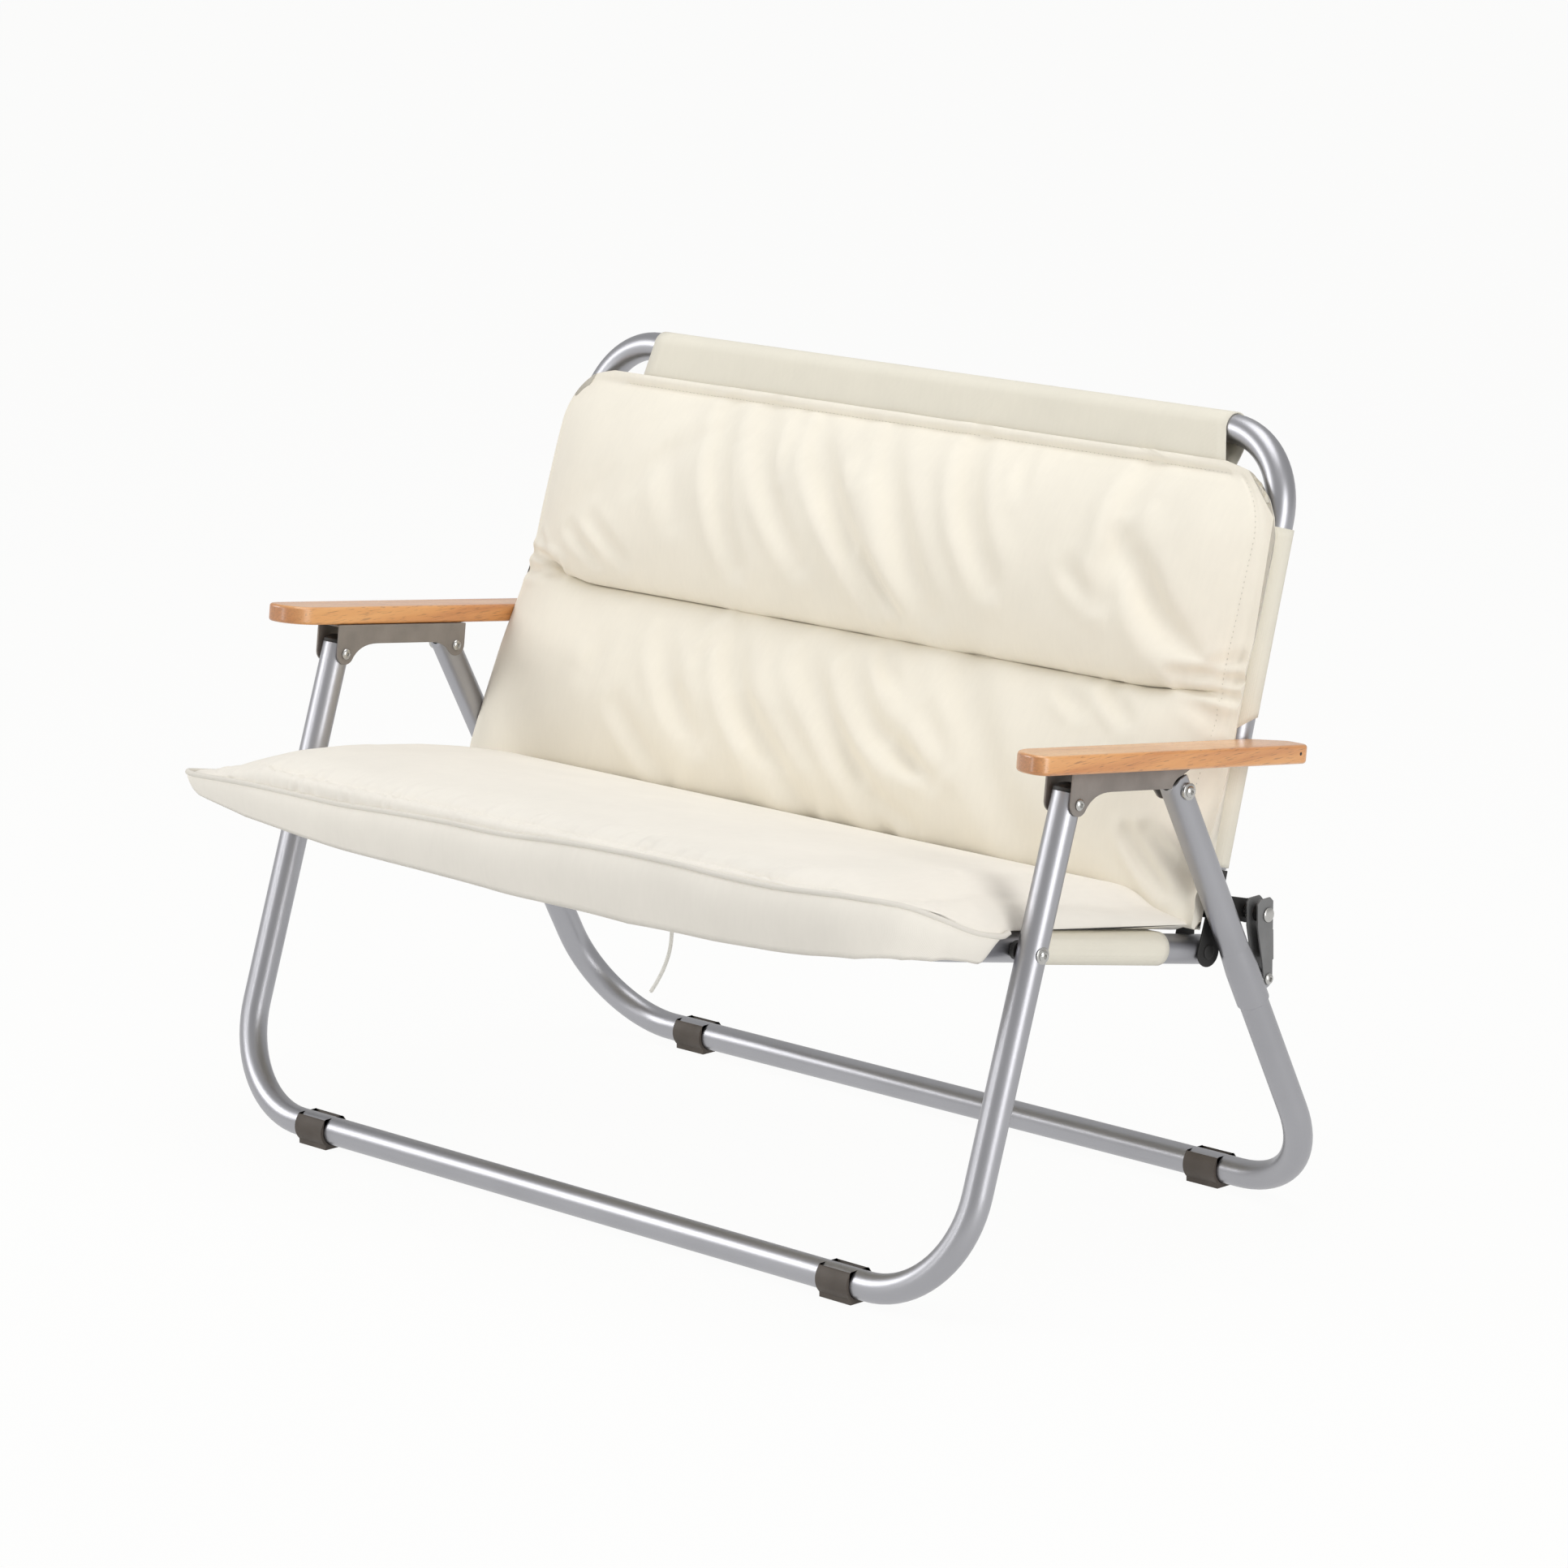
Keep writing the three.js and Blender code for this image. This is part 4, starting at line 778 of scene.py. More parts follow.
# Fasteners
def head(seat):
    """A domed head from its seat outwards, down into its six-sided socket."""
    top = seat + HEAD_HEIGHT
    return turned([
        (HEAD_RADIUS - HEAD_EDGE, seat), (HEAD_RADIUS, seat + HEAD_EDGE),
        (HEAD_RADIUS, seat + HEAD_HEIGHT * 0.3), (HEAD_RADIUS * 0.86, seat + HEAD_HEIGHT * 0.68),
        (HEAD_RADIUS * 0.62, seat + HEAD_HEIGHT * 0.92), (SOCKET_RADIUS * 1.25, top),
        (SOCKET_RADIUS, top - 0.0002), (SOCKET_RADIUS, top - SOCKET_DEPTH),
    ], hexagon_from=6)


def fastener(inner, outer, y=0.0, z=0.0, washer_from=None, inner_head=True):
    """A bolt along x at (y, z), with domed heads that sit on inner and outer."""
    shapes = [turned([(BOLT_RADIUS, inner), (BOLT_RADIUS, outer)], 24), head(outer)]
    if inner_head:
        shapes.append(sided(head(-inner), -1))
    if washer_from is not None:
        rim = WASHER_RADIUS + 0.0002
        shapes.append(turned([(WASHER_RADIUS, washer_from), (rim, washer_from + 0.0003),
                              (rim, outer - HEAD_EDGE), (WASHER_RADIUS - HEAD_EDGE, outer)]))
    return [moved(shape, y=y, z=z) for shape in shapes]


PLATE_FACES = (LEG_X - CHANNEL_OUTER - CLEARANCE, LEG_X + CHANNEL_OUTER + CLEARANCE)
CHEEK_FACES = (LEG_X - CHEEK_OUTER - CLEARANCE, LEG_X + CHEEK_OUTER + CLEARANCE)
SEAT_FACES = (RAIL_X + TUBE_RADIUS + CLEARANCE, LEG_X + TUBE_RADIUS + CLEARANCE)
WASHER_FROM = LEG_X + TUBE_RADIUS - WASHER_SINK
pair("arm_front_screw", fastener(*PLATE_FACES, front_y, front_z), steel,
     "arms", ARM, "fastener", "arm_front_bolt")
pair("arm_rear_screw", fastener(*PLATE_FACES, washer_from=WASHER_FROM), steel,
     "arms", ARM, "fastener", "arm_rear_bolt")
pair("seat_screw", fastener(*SEAT_FACES, 0, -SEAT_BOLT_DOWN, WASHER_FROM, inner_head=False), steel,
     "front_legs", FRONT, "fastener", "seat_bolt")
pair("link_foot_rivet", fastener(*CHEEK_FACES), steel, "links", LINK, "fastener", "link_foot_pin")


# Links and their collars
def link_outline():
    top = LINK_LENGTH + LINK_HEAD_UP
    corners = [
        (LINK_FOOT_RADIUS, 0.0), (LINK_HEAD_BACK, top - LINK_CHAMFER),
        (LINK_HEAD_BACK - LINK_CHAMFER, top), (LINK_CHAMFER - LINK_HEAD_FRONT, top),
        (-LINK_HEAD_FRONT, top - LINK_CHAMFER), (-LINK_HEAD_FRONT, LINK_LENGTH - LINK_HEAD_DOWN),
        (-LINK_FOOT_RADIUS - 0.002, LINK_LENGTH * 0.28),
    ]
    return [*corners, *arc((0, 0), LINK_FOOT_RADIUS, 180, 350, 12)]


def collar():
    """A sleeve on a rear leg, thinner at its upper end, and the lug that carries the link."""
    low = -LINK_FOOT_DOWN - COLLAR_BELOW
    rims = [
        (TUBE_RADIUS, low), (COLLAR_RADIUS - COLLAR_EDGE, low), (COLLAR_RADIUS, low + COLLAR_EDGE),
        (COLLAR_RADIUS, low + COLLAR_LENGTH * 0.55),
        (COLLAR_RADIUS - 0.001, low + COLLAR_LENGTH * 0.8), (TUBE_RADIUS - 0.0002, low + COLLAR_LENGTH),
    ]
    sleeve = stacked([ring((LEG_X, 0, height), radius) for radius, height in rims], capped=False)
    lug = [*arc((LINK_FOOT_BACK, -LINK_FOOT_DOWN), LUG_RADIUS, -90, 90, 14),
           (0.0, -LINK_FOOT_DOWN + LUG_RADIUS), (0.0, -LINK_FOOT_DOWN - LUG_RADIUS)]
    return [sleeve, plate(lug, LEG_X - LUG_HALF_WIDTH, LEG_X + LUG_HALF_WIDTH)]


link_plates = [
    plate(link_outline(), LEG_X + CHEEK_INNER, LEG_X + CHEEK_OUTER),
    plate(link_outline(), LEG_X - CHEEK_OUTER, LEG_X - CHEEK_INNER),
    box_shape(LEG_X, CHEEK_OUTER - 0.0003, LINK_FOOT_RADIUS - 0.0004, LINK_FOOT_RADIUS + SHEET,
              *LINK_WEB),
]
pair("link_plates", link_plates, link_paint, "links", LINK, "link", "link", bevel=SHEET_EDGE)
pair("link_sleeve", collar(), aluminium, "rear_legs", REAR, "tube", "link_collar", bevel=SHEET_EDGE)

# Hinge brackets between the back tubes, the seat rails and the links
HINGE_RADIUS = 0.0145
HINGE_INNER = TUBE_RADIUS + CLEARANCE
HINGE_OUTER = HINGE_INNER + 0.002
HINGE_NECK = 0.013
HINGE_NECK_START = 0.03
HINGE_TOP = BACK_TUBE_START - CLEARANCE
HINGE_BACK = 0.009
HINGE_BACK_START = 0.024
HINGE_BACK_END = 0.054
HINGE_SLIM = 0.005
HINGE_SLIM_START = 0.059
HINGE_ARM = 0.0115
HINGE_ARM_ROOT = (0.014, 0.031)
pin_in_back = BACK.inverted() @ link_top


def hinge_outline(with_arm):
    """Side view of a bracket plate: a lobe on the rail's end, a neck, and an arm to the link."""
    lobe = arc((0, 0), HINGE_RADIUS, 165, 372, 22)
    arm = [HINGE_ARM_ROOT, *arc((pin_in_back.y, pin_in_back.z), HINGE_ARM, -105, 105, 18)]
    return [(-HINGE_NECK, HINGE_TOP), (-HINGE_NECK, HINGE_NECK_START), *lobe,
            (HINGE_BACK, HINGE_BACK_START), *(arm if with_arm else []), (HINGE_BACK, HINGE_BACK_END),
            (HINGE_SLIM, HINGE_SLIM_START), (HINGE_SLIM, HINGE_TOP)]


hinge_plates = [
    plate(hinge_outline(True), RAIL_X + HINGE_INNER, RAIL_X + HINGE_OUTER),
    plate(hinge_outline(False), RAIL_X - HINGE_OUTER, RAIL_X - HINGE_INNER),
    box_shape(RAIL_X, HINGE_INNER + 0.001, -HINGE_NECK, HINGE_SLIM, HINGE_SLIM_START - 0.001, HINGE_TOP),
    box_shape(RAIL_X, HINGE_INNER + 0.001, HINGE_BACK - 0.002, HINGE_BACK, HINGE_NECK_START,
              HINGE_SLIM_START + 0.001),
]
pair("hinge_plates", hinge_plates, black_plastic, "back", BACK, "black_fitting", "hinge_bracket",
     bevel=SHEET_EDGE)


# Fittings whose CAD shape stays, with softened edges
def dress(obj, look, edge):
    obj.data.materials.clear()
    obj.data.materials.append(look)
    obj.modifiers.new("weld", "WELD").merge_threshold = 0.00002
    round_edges(obj, edge, 2, 32)
    obj.modifiers.new("normals", "WEIGHTED_NORMAL").keep_sharp = True
    obj.data.polygons.foreach_set("use_smooth", [True] * len(obj.data.polygons))


for label, _ in SIDES:
    for name in ("seat_spacer", "rail_plug", "link_bush"):
        dress(frame["nodes"][f"{name}_{label}"], black_plastic, SHEET_EDGE)
    for name, look in (("hinge_pin", black_plastic), ("link_top_pin", steel)):
        dress(frame["nodes"][f"{name}_{label}"], look, SHEET_EDGE / 2)

# Cloth round the tubes
CLOTH = 0.0015
CLOTH_RADIUS = TUBE_RADIUS + CLEARANCE + CLOTH / 2
PANEL_DEPTH = 0.014
PANEL_HALF = 0.456
PANEL_START = 0.079
PANEL_LAP = 0.05
PANEL_SHOULDER = BACK_HEIGHT - 0.122
PANEL_NECK = BACK_HEIGHT - 0.055
TOP_TUNNEL_HALF = RAIL_X - BACK_BEND
TUNNEL_SHIFT = 0.006
PANEL_WIDTHS = [
    (0, PANEL_HALF), (PANEL_SHOULDER, PANEL_HALF), (PANEL_NECK, TOP_TUNNEL_HALF + 0.012),
    (BACK_HEIGHT - 0.041, TOP_TUNNEL_HALF + 0.009), (BACK_HEIGHT, TOP_TUNNEL_HALF),
]
SLING_START = 0.076
SLING_LAP = 0.045
SLING_WIDTHS = [
    (0, PANEL_HALF), (SEAT_BAR - SEAT_BEND, PANEL_HALF), (SEAT_BAR, RAIL_X - SEAT_BEND),
]
SLEEVE_LOW = {"left": (0.079, 0.2), "right": (0.079, 0.183)}
SLEEVE_HIGH = (0.203, 0.397)
SLEEVE_CUT = {"left": 0.0, "right": 0.02}
SLEEVE_CUT_SPAN = (-0.02, 0.03)
SLEEVE_CUT_LENGTH = 0.04
SLEEVE_REACH = 0.03
SLEEVE_LAP = 0.024
SLEEVE_DEPTH = PANEL_DEPTH + CLOTH + 0.0001
RAIL_SLEEVE = (0.055, 0.242)


def table(value, pairs):
    """A value looked up between pairs of (value, result)."""
    return np.interp(value, *zip(*pairs))


def tunnel_section(reach, lap, level=PANEL_DEPTH, lead_points=9):
    """A tunnel round a tube at the origin: cloth comes in flat, goes round and is sewn back.

    Points are (along, depth): along runs towards the tube, and depth is the cloth's side of it.
    """
    lead = [(along, level) for along in np.linspace(-reach, -lap, lead_points)]
    wrap = arc((0, 0), CLOTH_RADIUS, 90, -90, 26)
    onto = smooth_line([lead[-1], (-lap * 0.5, CLOTH_RADIUS - 0.0003), wrap[0]], 6)
    back = smooth_line([wrap[-1], (-lap * 0.3, -CLOTH_RADIUS * 0.86), (-lap * 0.72, 0.001),
                        (-lap, PANEL_DEPTH - CLOTH)], 12)
    return np.array([*lead, *onto[1:-1], *wrap, *back[1:]])


def cloth_piece(name, rows, body, place, node_name):
    """A woven sheet from rows of points, stretched over a tube and given its thickness."""
    sheet = Piece((np.concatenate(rows), grid_faces(len(rows), len(rows[0]))))
    made = sheet.make(name, [canvas], body, place, "canvas", node_name, sharp=60)
    thicken(made)


def back_panel():
    """The panel between the back tubes, drawn in to the tunnel over the top bar."""
    section = tunnel_section(BACK_HEIGHT - PANEL_START, PANEL_LAP, lead_points=40)
    rows = []
    for along, depth in section:
        t = BACK_HEIGHT + along
        half = table(t, PANEL_WIDTHS)
        shift = TUNNEL_SHIFT * ease(t, PANEL_SHOULDER, PANEL_NECK)
        rows.append(points_of(np.linspace(shift * 1.5 - half, half + shift, 61), -depth, t))
    cloth_piece("back_cloth", rows, "back", BACK, "back_panel")


def sling():
    """The panel between the seat rails, with the tunnel over the front bar."""
    section = tunnel_section(SEAT_BAR - SLING_START, SLING_LAP)
    rows = []
    for along, depth in section:
        s = SEAT_BAR + along
        half = table(s, SLING_WIDTHS)
        rows.append(points_of(np.linspace(-half, half, 41), -s, depth))
    cloth_piece("seat_cloth", rows, "seat", SEAT, "seat_sling")


def side_sleeve(name, side, span, node_name, on_rail=False, cut=0.0):
    """A tunnel along a side tube, sewn to the panel inside it; cut slants its lower end."""
    section = tunnel_section(SLEEVE_REACH, SLEEVE_LAP, SLEEVE_DEPTH)
    reach, depth = section.T
    x = side * (RAIL_X + reach)
    slant = cut * ease(reach - depth, *SLEEVE_CUT_SPAN)
    rows = []
    for start in np.linspace(*span, 24):
        along = start + slant * (1 - ease(start, span[0], span[0] + SLEEVE_CUT_LENGTH))
        rows.append(points_of(x, -along, depth) if on_rail else points_of(x, -depth, along))
    body, place, tube = ("seat", SEAT, "seat_tube") if on_rail else ("back", BACK, "back_tube")
    cloth_piece(name, rows, body, place, node_name)


back_panel()
sling()
for label, side in SIDES:
    side_sleeve(f"back_low_tunnel_{label}", side, SLEEVE_LOW[label], f"back_sleeve_lower_{label}")
    side_sleeve(f"back_high_tunnel_{label}", side, SLEEVE_HIGH, f"back_sleeve_upper_{label}",
                cut=SLEEVE_CUT[label])
    side_sleeve(f"rail_tunnel_{label}", side, RAIL_SLEEVE, f"rail_sleeve_{label}", on_rail=True)

# Tie cord: (x, z) from where it leaves the seam
CORD_RADIUS = 0.0018
CORD_TOP_X = 0.166
CORD_ROUTE = [
    (0, 0), (0, -0.008), (0.0004, -0.016), (0.001, -0.024), (0.0016, -0.032), (0.002, -0.04),
    (0.002, -0.048), (0.0014, -0.056), (0, -0.064), (-0.0024, -0.072), (-0.0058, -0.08),
    (-0.01, -0.088), (-0.015, -0.096), (-0.0206, -0.104), (-0.027, -0.112),
]


def tie_cord():
    low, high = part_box("tie_cord")
    top = Vector((CORD_TOP_X, (low.y + high.y) / 2, high.z))
    path = smooth_line([(x, 0, z) for x, z in CORD_ROUTE], 60) + np.array(top)
    data = bpy.data.curves.new("tie_string", "CURVE")
    data.dimensions = "3D"
    data.bevel_depth = CORD_RADIUS
    data.bevel_resolution = 4
    data.use_fill_caps = True
    data.resolution_u = 4
    line = data.splines.new("POLY")
    line.points.add(len(path) - 1)
    for point, place in zip(line.points, path):
        point.co = (*place, 1)
    data.materials.append(cord_braid)
    cord = put("tie_string", data)
    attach(cord, "seat")
    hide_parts("tie_cord")


tie_cord()

# Padded cloth: a grid of points, sewn along some of them, is let swell and then pleated
SIM_FRAMES = 22
SIM_SETTINGS = {
    "quality": 6, "mass": 0.3, "tension_stiffness": 15, "compression_stiffness": 12,
    "shear_stiffness": 4, "bending_stiffness": 10, "tension_damping": 10,
    "compression_damping": 10, "shear_damping": 10, "air_damping": 4,
    "vertex_group_mass": "sewn", "use_pressure": True, "uniform_pressure_force": 4.0,
}
CUSHION_BASE = 0.0164
UNDERSIDE_STEP = 6
FOLD_WIDTH = 1.25
FOLDED_BEFORE = 0.6
FOLD_FADE = 0.6
RIDGE_AT = 1.7
RIDGE_WIDTH = 0.9
RIDGE_SHARES = (0.75, 0.4)
STITCH_PITCH = 0.0052
STITCH_LENGTH = 0.0034
STITCH_RADIUS = 0.0005
STITCH_LIFT = 0.0002


def simulate(grid, slack, sewn, cap):
    """The grid as cloth under pressure; slack widens its rest shape, cap is the furthest move."""
    flat = grid.reshape(-1, 3)
    mesh = bpy.data.meshes.new("swelling")
    mesh.from_pydata(flat.tolist(), [], grid_faces(*grid.shape[:2]))
    cloth = put("swelling", mesh)
    cloth.shape_key_add(name="sewn")
    cut = cloth.shape_key_add(name="cut")
    middle = flat.mean(axis=0)
    cut.data.foreach_set("co", ((flat - middle) * (1 + slack, 1, 1) + middle).ravel())
    group = cloth.vertex_groups.new(name="sewn")
    group.add(np.flatnonzero(sewn.ravel()).tolist(), 1.0, "REPLACE")
    swelling = cloth.modifiers.new("swelling", "CLOTH")
    for name, value in SIM_SETTINGS.items():
        setattr(swelling.settings, name, value)
    swelling.settings.rest_shape_key = cut
    swelling.settings.effector_weights.gravity = 0
    swelling.collision_settings.use_collision = False
    scene = bpy.context.scene
    first = scene.frame_current
    for number in range(1, SIM_FRAMES + 1):
        scene.frame_set(number)
    settled = cloth.evaluated_get(bpy.context.evaluated_depsgraph_get()).data
    settled_at = np.empty(flat.size)
    settled.vertices.foreach_get("co", settled_at)
    moved_by = settled_at.reshape(grid.shape) - grid
    scene.frame_set(first)
    bpy.data.objects.remove(cloth)
    far = np.linalg.norm(moved_by, axis=2, keepdims=True)
    return grid + moved_by * np.minimum(1, cap / np.maximum(far, 1e-9))


def finer(grid):
    """Twice the points each way, on smooth curves through the old ones."""
    for _ in range(2):
        before = np.concatenate([2 * grid[:1] - grid[1:2], grid, 2 * grid[-1:] - grid[-2:-1]])
        out = np.empty((2 * len(grid) - 1, *grid.shape[1:]))
        out[::2] = grid
        out[1::2] = (9 * (before[1:-2] + before[2:-1]) - before[:-3] - before[3:]) / 16
        grid = out.transpose(1, 0, 2)
    return grid


def normals_of(grid):
    normal = np.cross(np.gradient(grid, axis=1), np.gradient(grid, axis=0))
    return normal / np.maximum(np.linalg.norm(normal, axis=2, keepdims=True), 1e-12)


def bell(value, centre=0.0, width=1.0):
    return np.exp(-((value - centre) / width) ** 2)


def crowded(count, share):
    """Places from -1 to 1 that lie closer together towards both ends."""
    even = np.linspace(-1, 1, count)
    return (1 - share) * even + share * np.sin(even * math.pi / 2)


def fold_lines(rows):
    """Rows of points in mm, then a width and a depth in 0.1 mm, turned into metres."""
    return [(np.reshape(points, (-1, 2)) / 1000, width / 10000, depth / 10000)
            for *points, width, depth in rows]


def pleats(u, v, lines):
    """Depth of folds along lines, each with its points of (u, v), a width and a depth.

    A fold fades towards its ends and raises a ridge on either side of it.
    """
    total = np.zeros_like(u)
    for points, width, depth in lines:
        points = smooth_line(points, 9) if len(points) > 2 else points
        run = run_of(points)
        nearest = np.full(u.shape, 1e9)
        signed = np.zeros_like(u)
        along = np.zeros_like(u)
        for a, b, start, end in zip(points, points[1:], run, run[1:]):
            ahead = (b - a) / (end - start)
            q = np.clip((u - a[0]) * ahead[0] + (v - a[1]) * ahead[1], 0, end - start)
            du = u - a[0] - q * ahead[0]
            dv = v - a[1] - q * ahead[1]
            gap = np.hypot(du, dv)
            closer = gap < nearest
            nearest = np.where(closer, gap, nearest)
            signed = np.where(closer, du * ahead[1] - dv * ahead[0], signed)
            along = np.where(closer, (start + q) / run[-1], along)
        fade = np.sin(math.pi * np.clip(0.1 + 0.8 * along, 0, 1)) ** FOLD_FADE
        q = nearest / (width * FOLD_WIDTH)
        beside = np.where(signed > 0, *RIDGE_SHARES) * bell(q, RIDGE_AT, RIDGE_WIDTH)
        total += depth * fade * (bell(q) - beside)
    return total


def stitches(piece, line, normal, look):
    """Short threads along a line of points, lying on the surface."""
    run = run_of(line)
    for at in np.arange(STITCH_PITCH / 2, run[-1] - STITCH_PITCH / 2, STITCH_PITCH):
        start, end = along_line(at + np.array((-1, 1)) * STITCH_LENGTH / 2, run, line)
        up = along_line(at, run, normal)
        side = np.cross(up, unit(end - start)) * STITCH_RADIUS
        high = up * STITCH_RADIUS * 1.1
        middle = (start + end) / 2
        points = [start - high, middle + side, middle + high, middle - side, end - high]
        piece.add(points, [(0, 2, 1), (0, 3, 2), (4, 1, 2), (4, 2, 3)], look)


def closed_pad(*rows):
    """A pad from rows of points that go round it, across from one end to the other."""
    return stacked(np.concatenate(rows).transpose(1, 0, 2))


def make_pad(pad, name, looks, body, place, node_name):
    """A pad as an object with a mesh of its own."""
    made = pad.make(name, looks, body, place, "cushion_cloth", node_name, sharp=75)
    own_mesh(made)


# Back cushion
BACK_HALF = 0.482
BACK_TOP = 0.45
BACK_SEAM = 0.02
BACK_CORNER = 0.058
BACK_CORNER_RIGHT = 0.075
BACK_BOX = 0.036
LEFT_BOX = [(0.05, 1.2), (0.15, 0.8), (0.24, 0.36), (0.33, 0.22), (0.42, 0.1)]
BACK_SPREAD = 0.008
FLANGE = 0.011
FLANGE_LEFT = 0.004
CORNER_DROP = 0.017
CORNER_SPAN = (0.36, 0.475)
CORNER_HEIGHTS = (0.04, 0.11)
CHANNEL_AT = 0.232
CHANNEL_END = 0.036
CHANNEL_FADE_LEFT = (0.012, CHANNEL_END + 0.02)
CHANNEL_FADE_RIGHT = (0.008, CHANNEL_END)
CHANNEL_SPREAD = 0.03
RISE_LEFT = 0.01445
RISE_RIGHT = 0.0068
RISE_SPAN = (0.37, 0.455)
GENTLE_EDGE = 0.075
BOXY_HEIGHTS = (0.09, 0.24)
BOXY_RIGHT = 0.55
RIGHT_BOX = 0.35
RIGHT_BOX_HEIGHTS = (0.06, 0.2)
WAIST_AT = 0.24
WAIST = 0.003
WAIST_SPREAD = 0.05
BACK_MESH = (84, 139)
BACK_CROWD = 0.2
BACK_SLACK = 0.022
BACK_SWELL = 0.012
CREASE_RANGE = 0.012
LOWER_FOLDS = 1.5
UPPER_FOLDS = 1.25
FOLDS_PART_AT = CHANNEL_AT - 0.002
TOP_LIP = 0.0018
SIDE_LIP = 0.0016
SEAM_ROW = -5
SEAM_COLUMN = -8
SEAM_ROWS = slice(40, SEAM_ROW)
SEAM_COLUMNS = slice(20, -12)
SEAM_GROOVE = ((-1, 0.0004), (0, 0.0014), (1, 0.0004))

# Its section: (height up the back, depth before the tubes), then the same without the channel
BACK_SECTION = [
    (0.044, 0.0175), (0.037, 0.027), (0.036, 0.047), (0.046, 0.0615), (0.075, 0.066),
    (0.12, 0.066, 0.12, 0.067), (0.165, 0.063, 0.16, 0.066), (0.2, 0.058, 0.19, 0.064),
    (0.218, 0.051, 0.205, 0.063), (0.227, 0.041, 0.217, 0.062), (0.2312, 0.029, 0.228, 0.061),
    (0.2295, 0.036, 0.236, 0.061), (0.23, 0.046, 0.244, 0.061), (0.237, 0.055, 0.252, 0.061),
    (0.252, 0.06, 0.264, 0.062), (0.285, 0.062, 0.29, 0.063), (0.33, 0.0605), (0.372, 0.0525),
    (0.406, 0.04), (0.428, 0.0275), (BACK_TOP - FLANGE, 0.0192), (BACK_TOP - FLANGE / 2, 0.0214),
    (BACK_TOP, 0.0202),
]

# Its folds, as the photo shows them: points of (across, up) in mm, then width and depth in 0.1 mm
BACK_FOLDS = [
    (-242, 426, -179, 314, -153, 273, 100, 39), (-187, 429, -133, 356, -65, 285, 100, 33),
    (-137, 429, -116, 374, 70, 18), (-106, 418, -24, 335, 42, 266, 110, 51),
    (-9, 418, 50, 346, 112, 262, 120, 42), (100, 428, 144, 356, 188, 299, 110, 44),
    (321, 428, 329, 363, 335, 307, 120, 35), (345, 358, 401, 278, 120, 28),
    (-287, 371, -246, 310, 120, 22), (-401, 283, -356, 255, 60, 20),
    (-368, 295, -316, 260, 70, 20), (23, 302, 75, 253, 60, 26), (279, 326, 317, 297, 80, 18),
    (175, 423, 189, 390, 70, 16), (-34, 412, -16, 378, 70, 16),
    (-238, 188, -186, 126, -153, 96, 110, 31), (-272, 116, -192, 52, 100, 26),
    (-148, 206, -93, 134, 7, 52, 120, 46), (-38, 195, 32, 137, 115, 52, 120, 42),
    (27, 190, 72, 148, 139, 119, 110, 40), (55, 214, 84, 190, 70, 18),
    (162, 216, 243, 117, 311, 52, 160, 33), (-169, 208, -177, 178, 70, 16),
    (-318, 175, -321, 142, 120, 16), (102, 81, 152, 57, 80, 22), (289, 216, 325, 198, 70, 18),
    (344, 222, 382, 197, 70, 22), (436, 226, 461, 208, 60, 18), (144, 167, 187, 126, 100, 22),
    (-67, 88, -47, 59, 80, 16), (418, 94, 460, 52, 70, 32), (435, 99, 478, 60, 60, 28),
    (123, 124, 172, 104, 80, 22), (418, 247, 476, 251, 45, 38), (425, 238, 476, 236, 50, 30),
    (440, 252, 470, 272, 50, 18), (-415, 243, -476, 252, 45, 36), (-420, 236, -478, 234, 50, 30),
    (-430, 248, -462, 268, 50, 16),
]


def back_half(t, corner=BACK_CORNER):
    past = np.clip(t - (BACK_TOP - corner), 0, corner)
    return BACK_HALF - corner + np.sqrt(corner ** 2 - past ** 2) - WAIST * bell(t, WAIST_AT, WAIST_SPREAD)


def swell(distance, radius, power=2.2):
    """How full a pad is at a distance from its seam: 0 at the seam, 1 past the radius."""
    q = np.clip(distance / radius, 0, 1)
    return (1 - (1 - q) ** power) ** (1 / power)


def back_grid(rows, columns):
    """The front of the back cushion before it swells: rows go up the back, columns across."""
    section = smooth_line([(*row, *row)[:4] for row in BACK_SECTION], rows)
    channel_t, channel_m, plain_t, plain_m = section.T[:, :, None]
    across = crowded(columns, BACK_CROWD)
    half = back_half(plain_t, np.where(across > 0, BACK_CORNER_RIGHT, BACK_CORNER))
    x = across * half
    outer = np.abs(x)
    inside = half - outer
    creased = np.where(x > 0, ease(inside, *CHANNEL_FADE_RIGHT), ease(inside, *CHANNEL_FADE_LEFT))
    t = plain_t + (channel_t - plain_t) * creased
    m = plain_m + (channel_m - plain_m) * creased
    rise = np.where(x > 0, RISE_RIGHT, RISE_LEFT) * bell(t, CHANNEL_AT, CHANNEL_SPREAD)
    t = t + rise * ease(outer, *RISE_SPAN)
    t = t - CORNER_DROP * ease(outer, *CORNER_SPAN) * (1 - ease(t, *CORNER_HEIGHTS))
    reach = np.clip(inside - np.where(x > 0, FLANGE, FLANGE_LEFT), 0, 1)
    gentle = np.sin(math.pi / 2 * np.clip(reach / GENTLE_EDGE, 0, 1))
    low = (1 - ease(t, *BOXY_HEIGHTS)) * np.where(x < 0, 1, BOXY_RIGHT)
    full = gentle + (swell(reach, BACK_BOX) - gentle) * low
    right_box = RIGHT_BOX * (1 - ease(t, *RIGHT_BOX_HEIGHTS))
    boxed = np.where(x < 0, table(t, LEFT_BOX), right_box)
    edge = BACK_SEAM + BACK_BOX * boxed * ease(m, BACK_SEAM, BACK_SEAM + BACK_BOX)
    depth = edge + (m - edge) * full
    return points_of(x * (1 + BACK_SPREAD * np.clip(boxed, 0, 1)), -depth, t), section


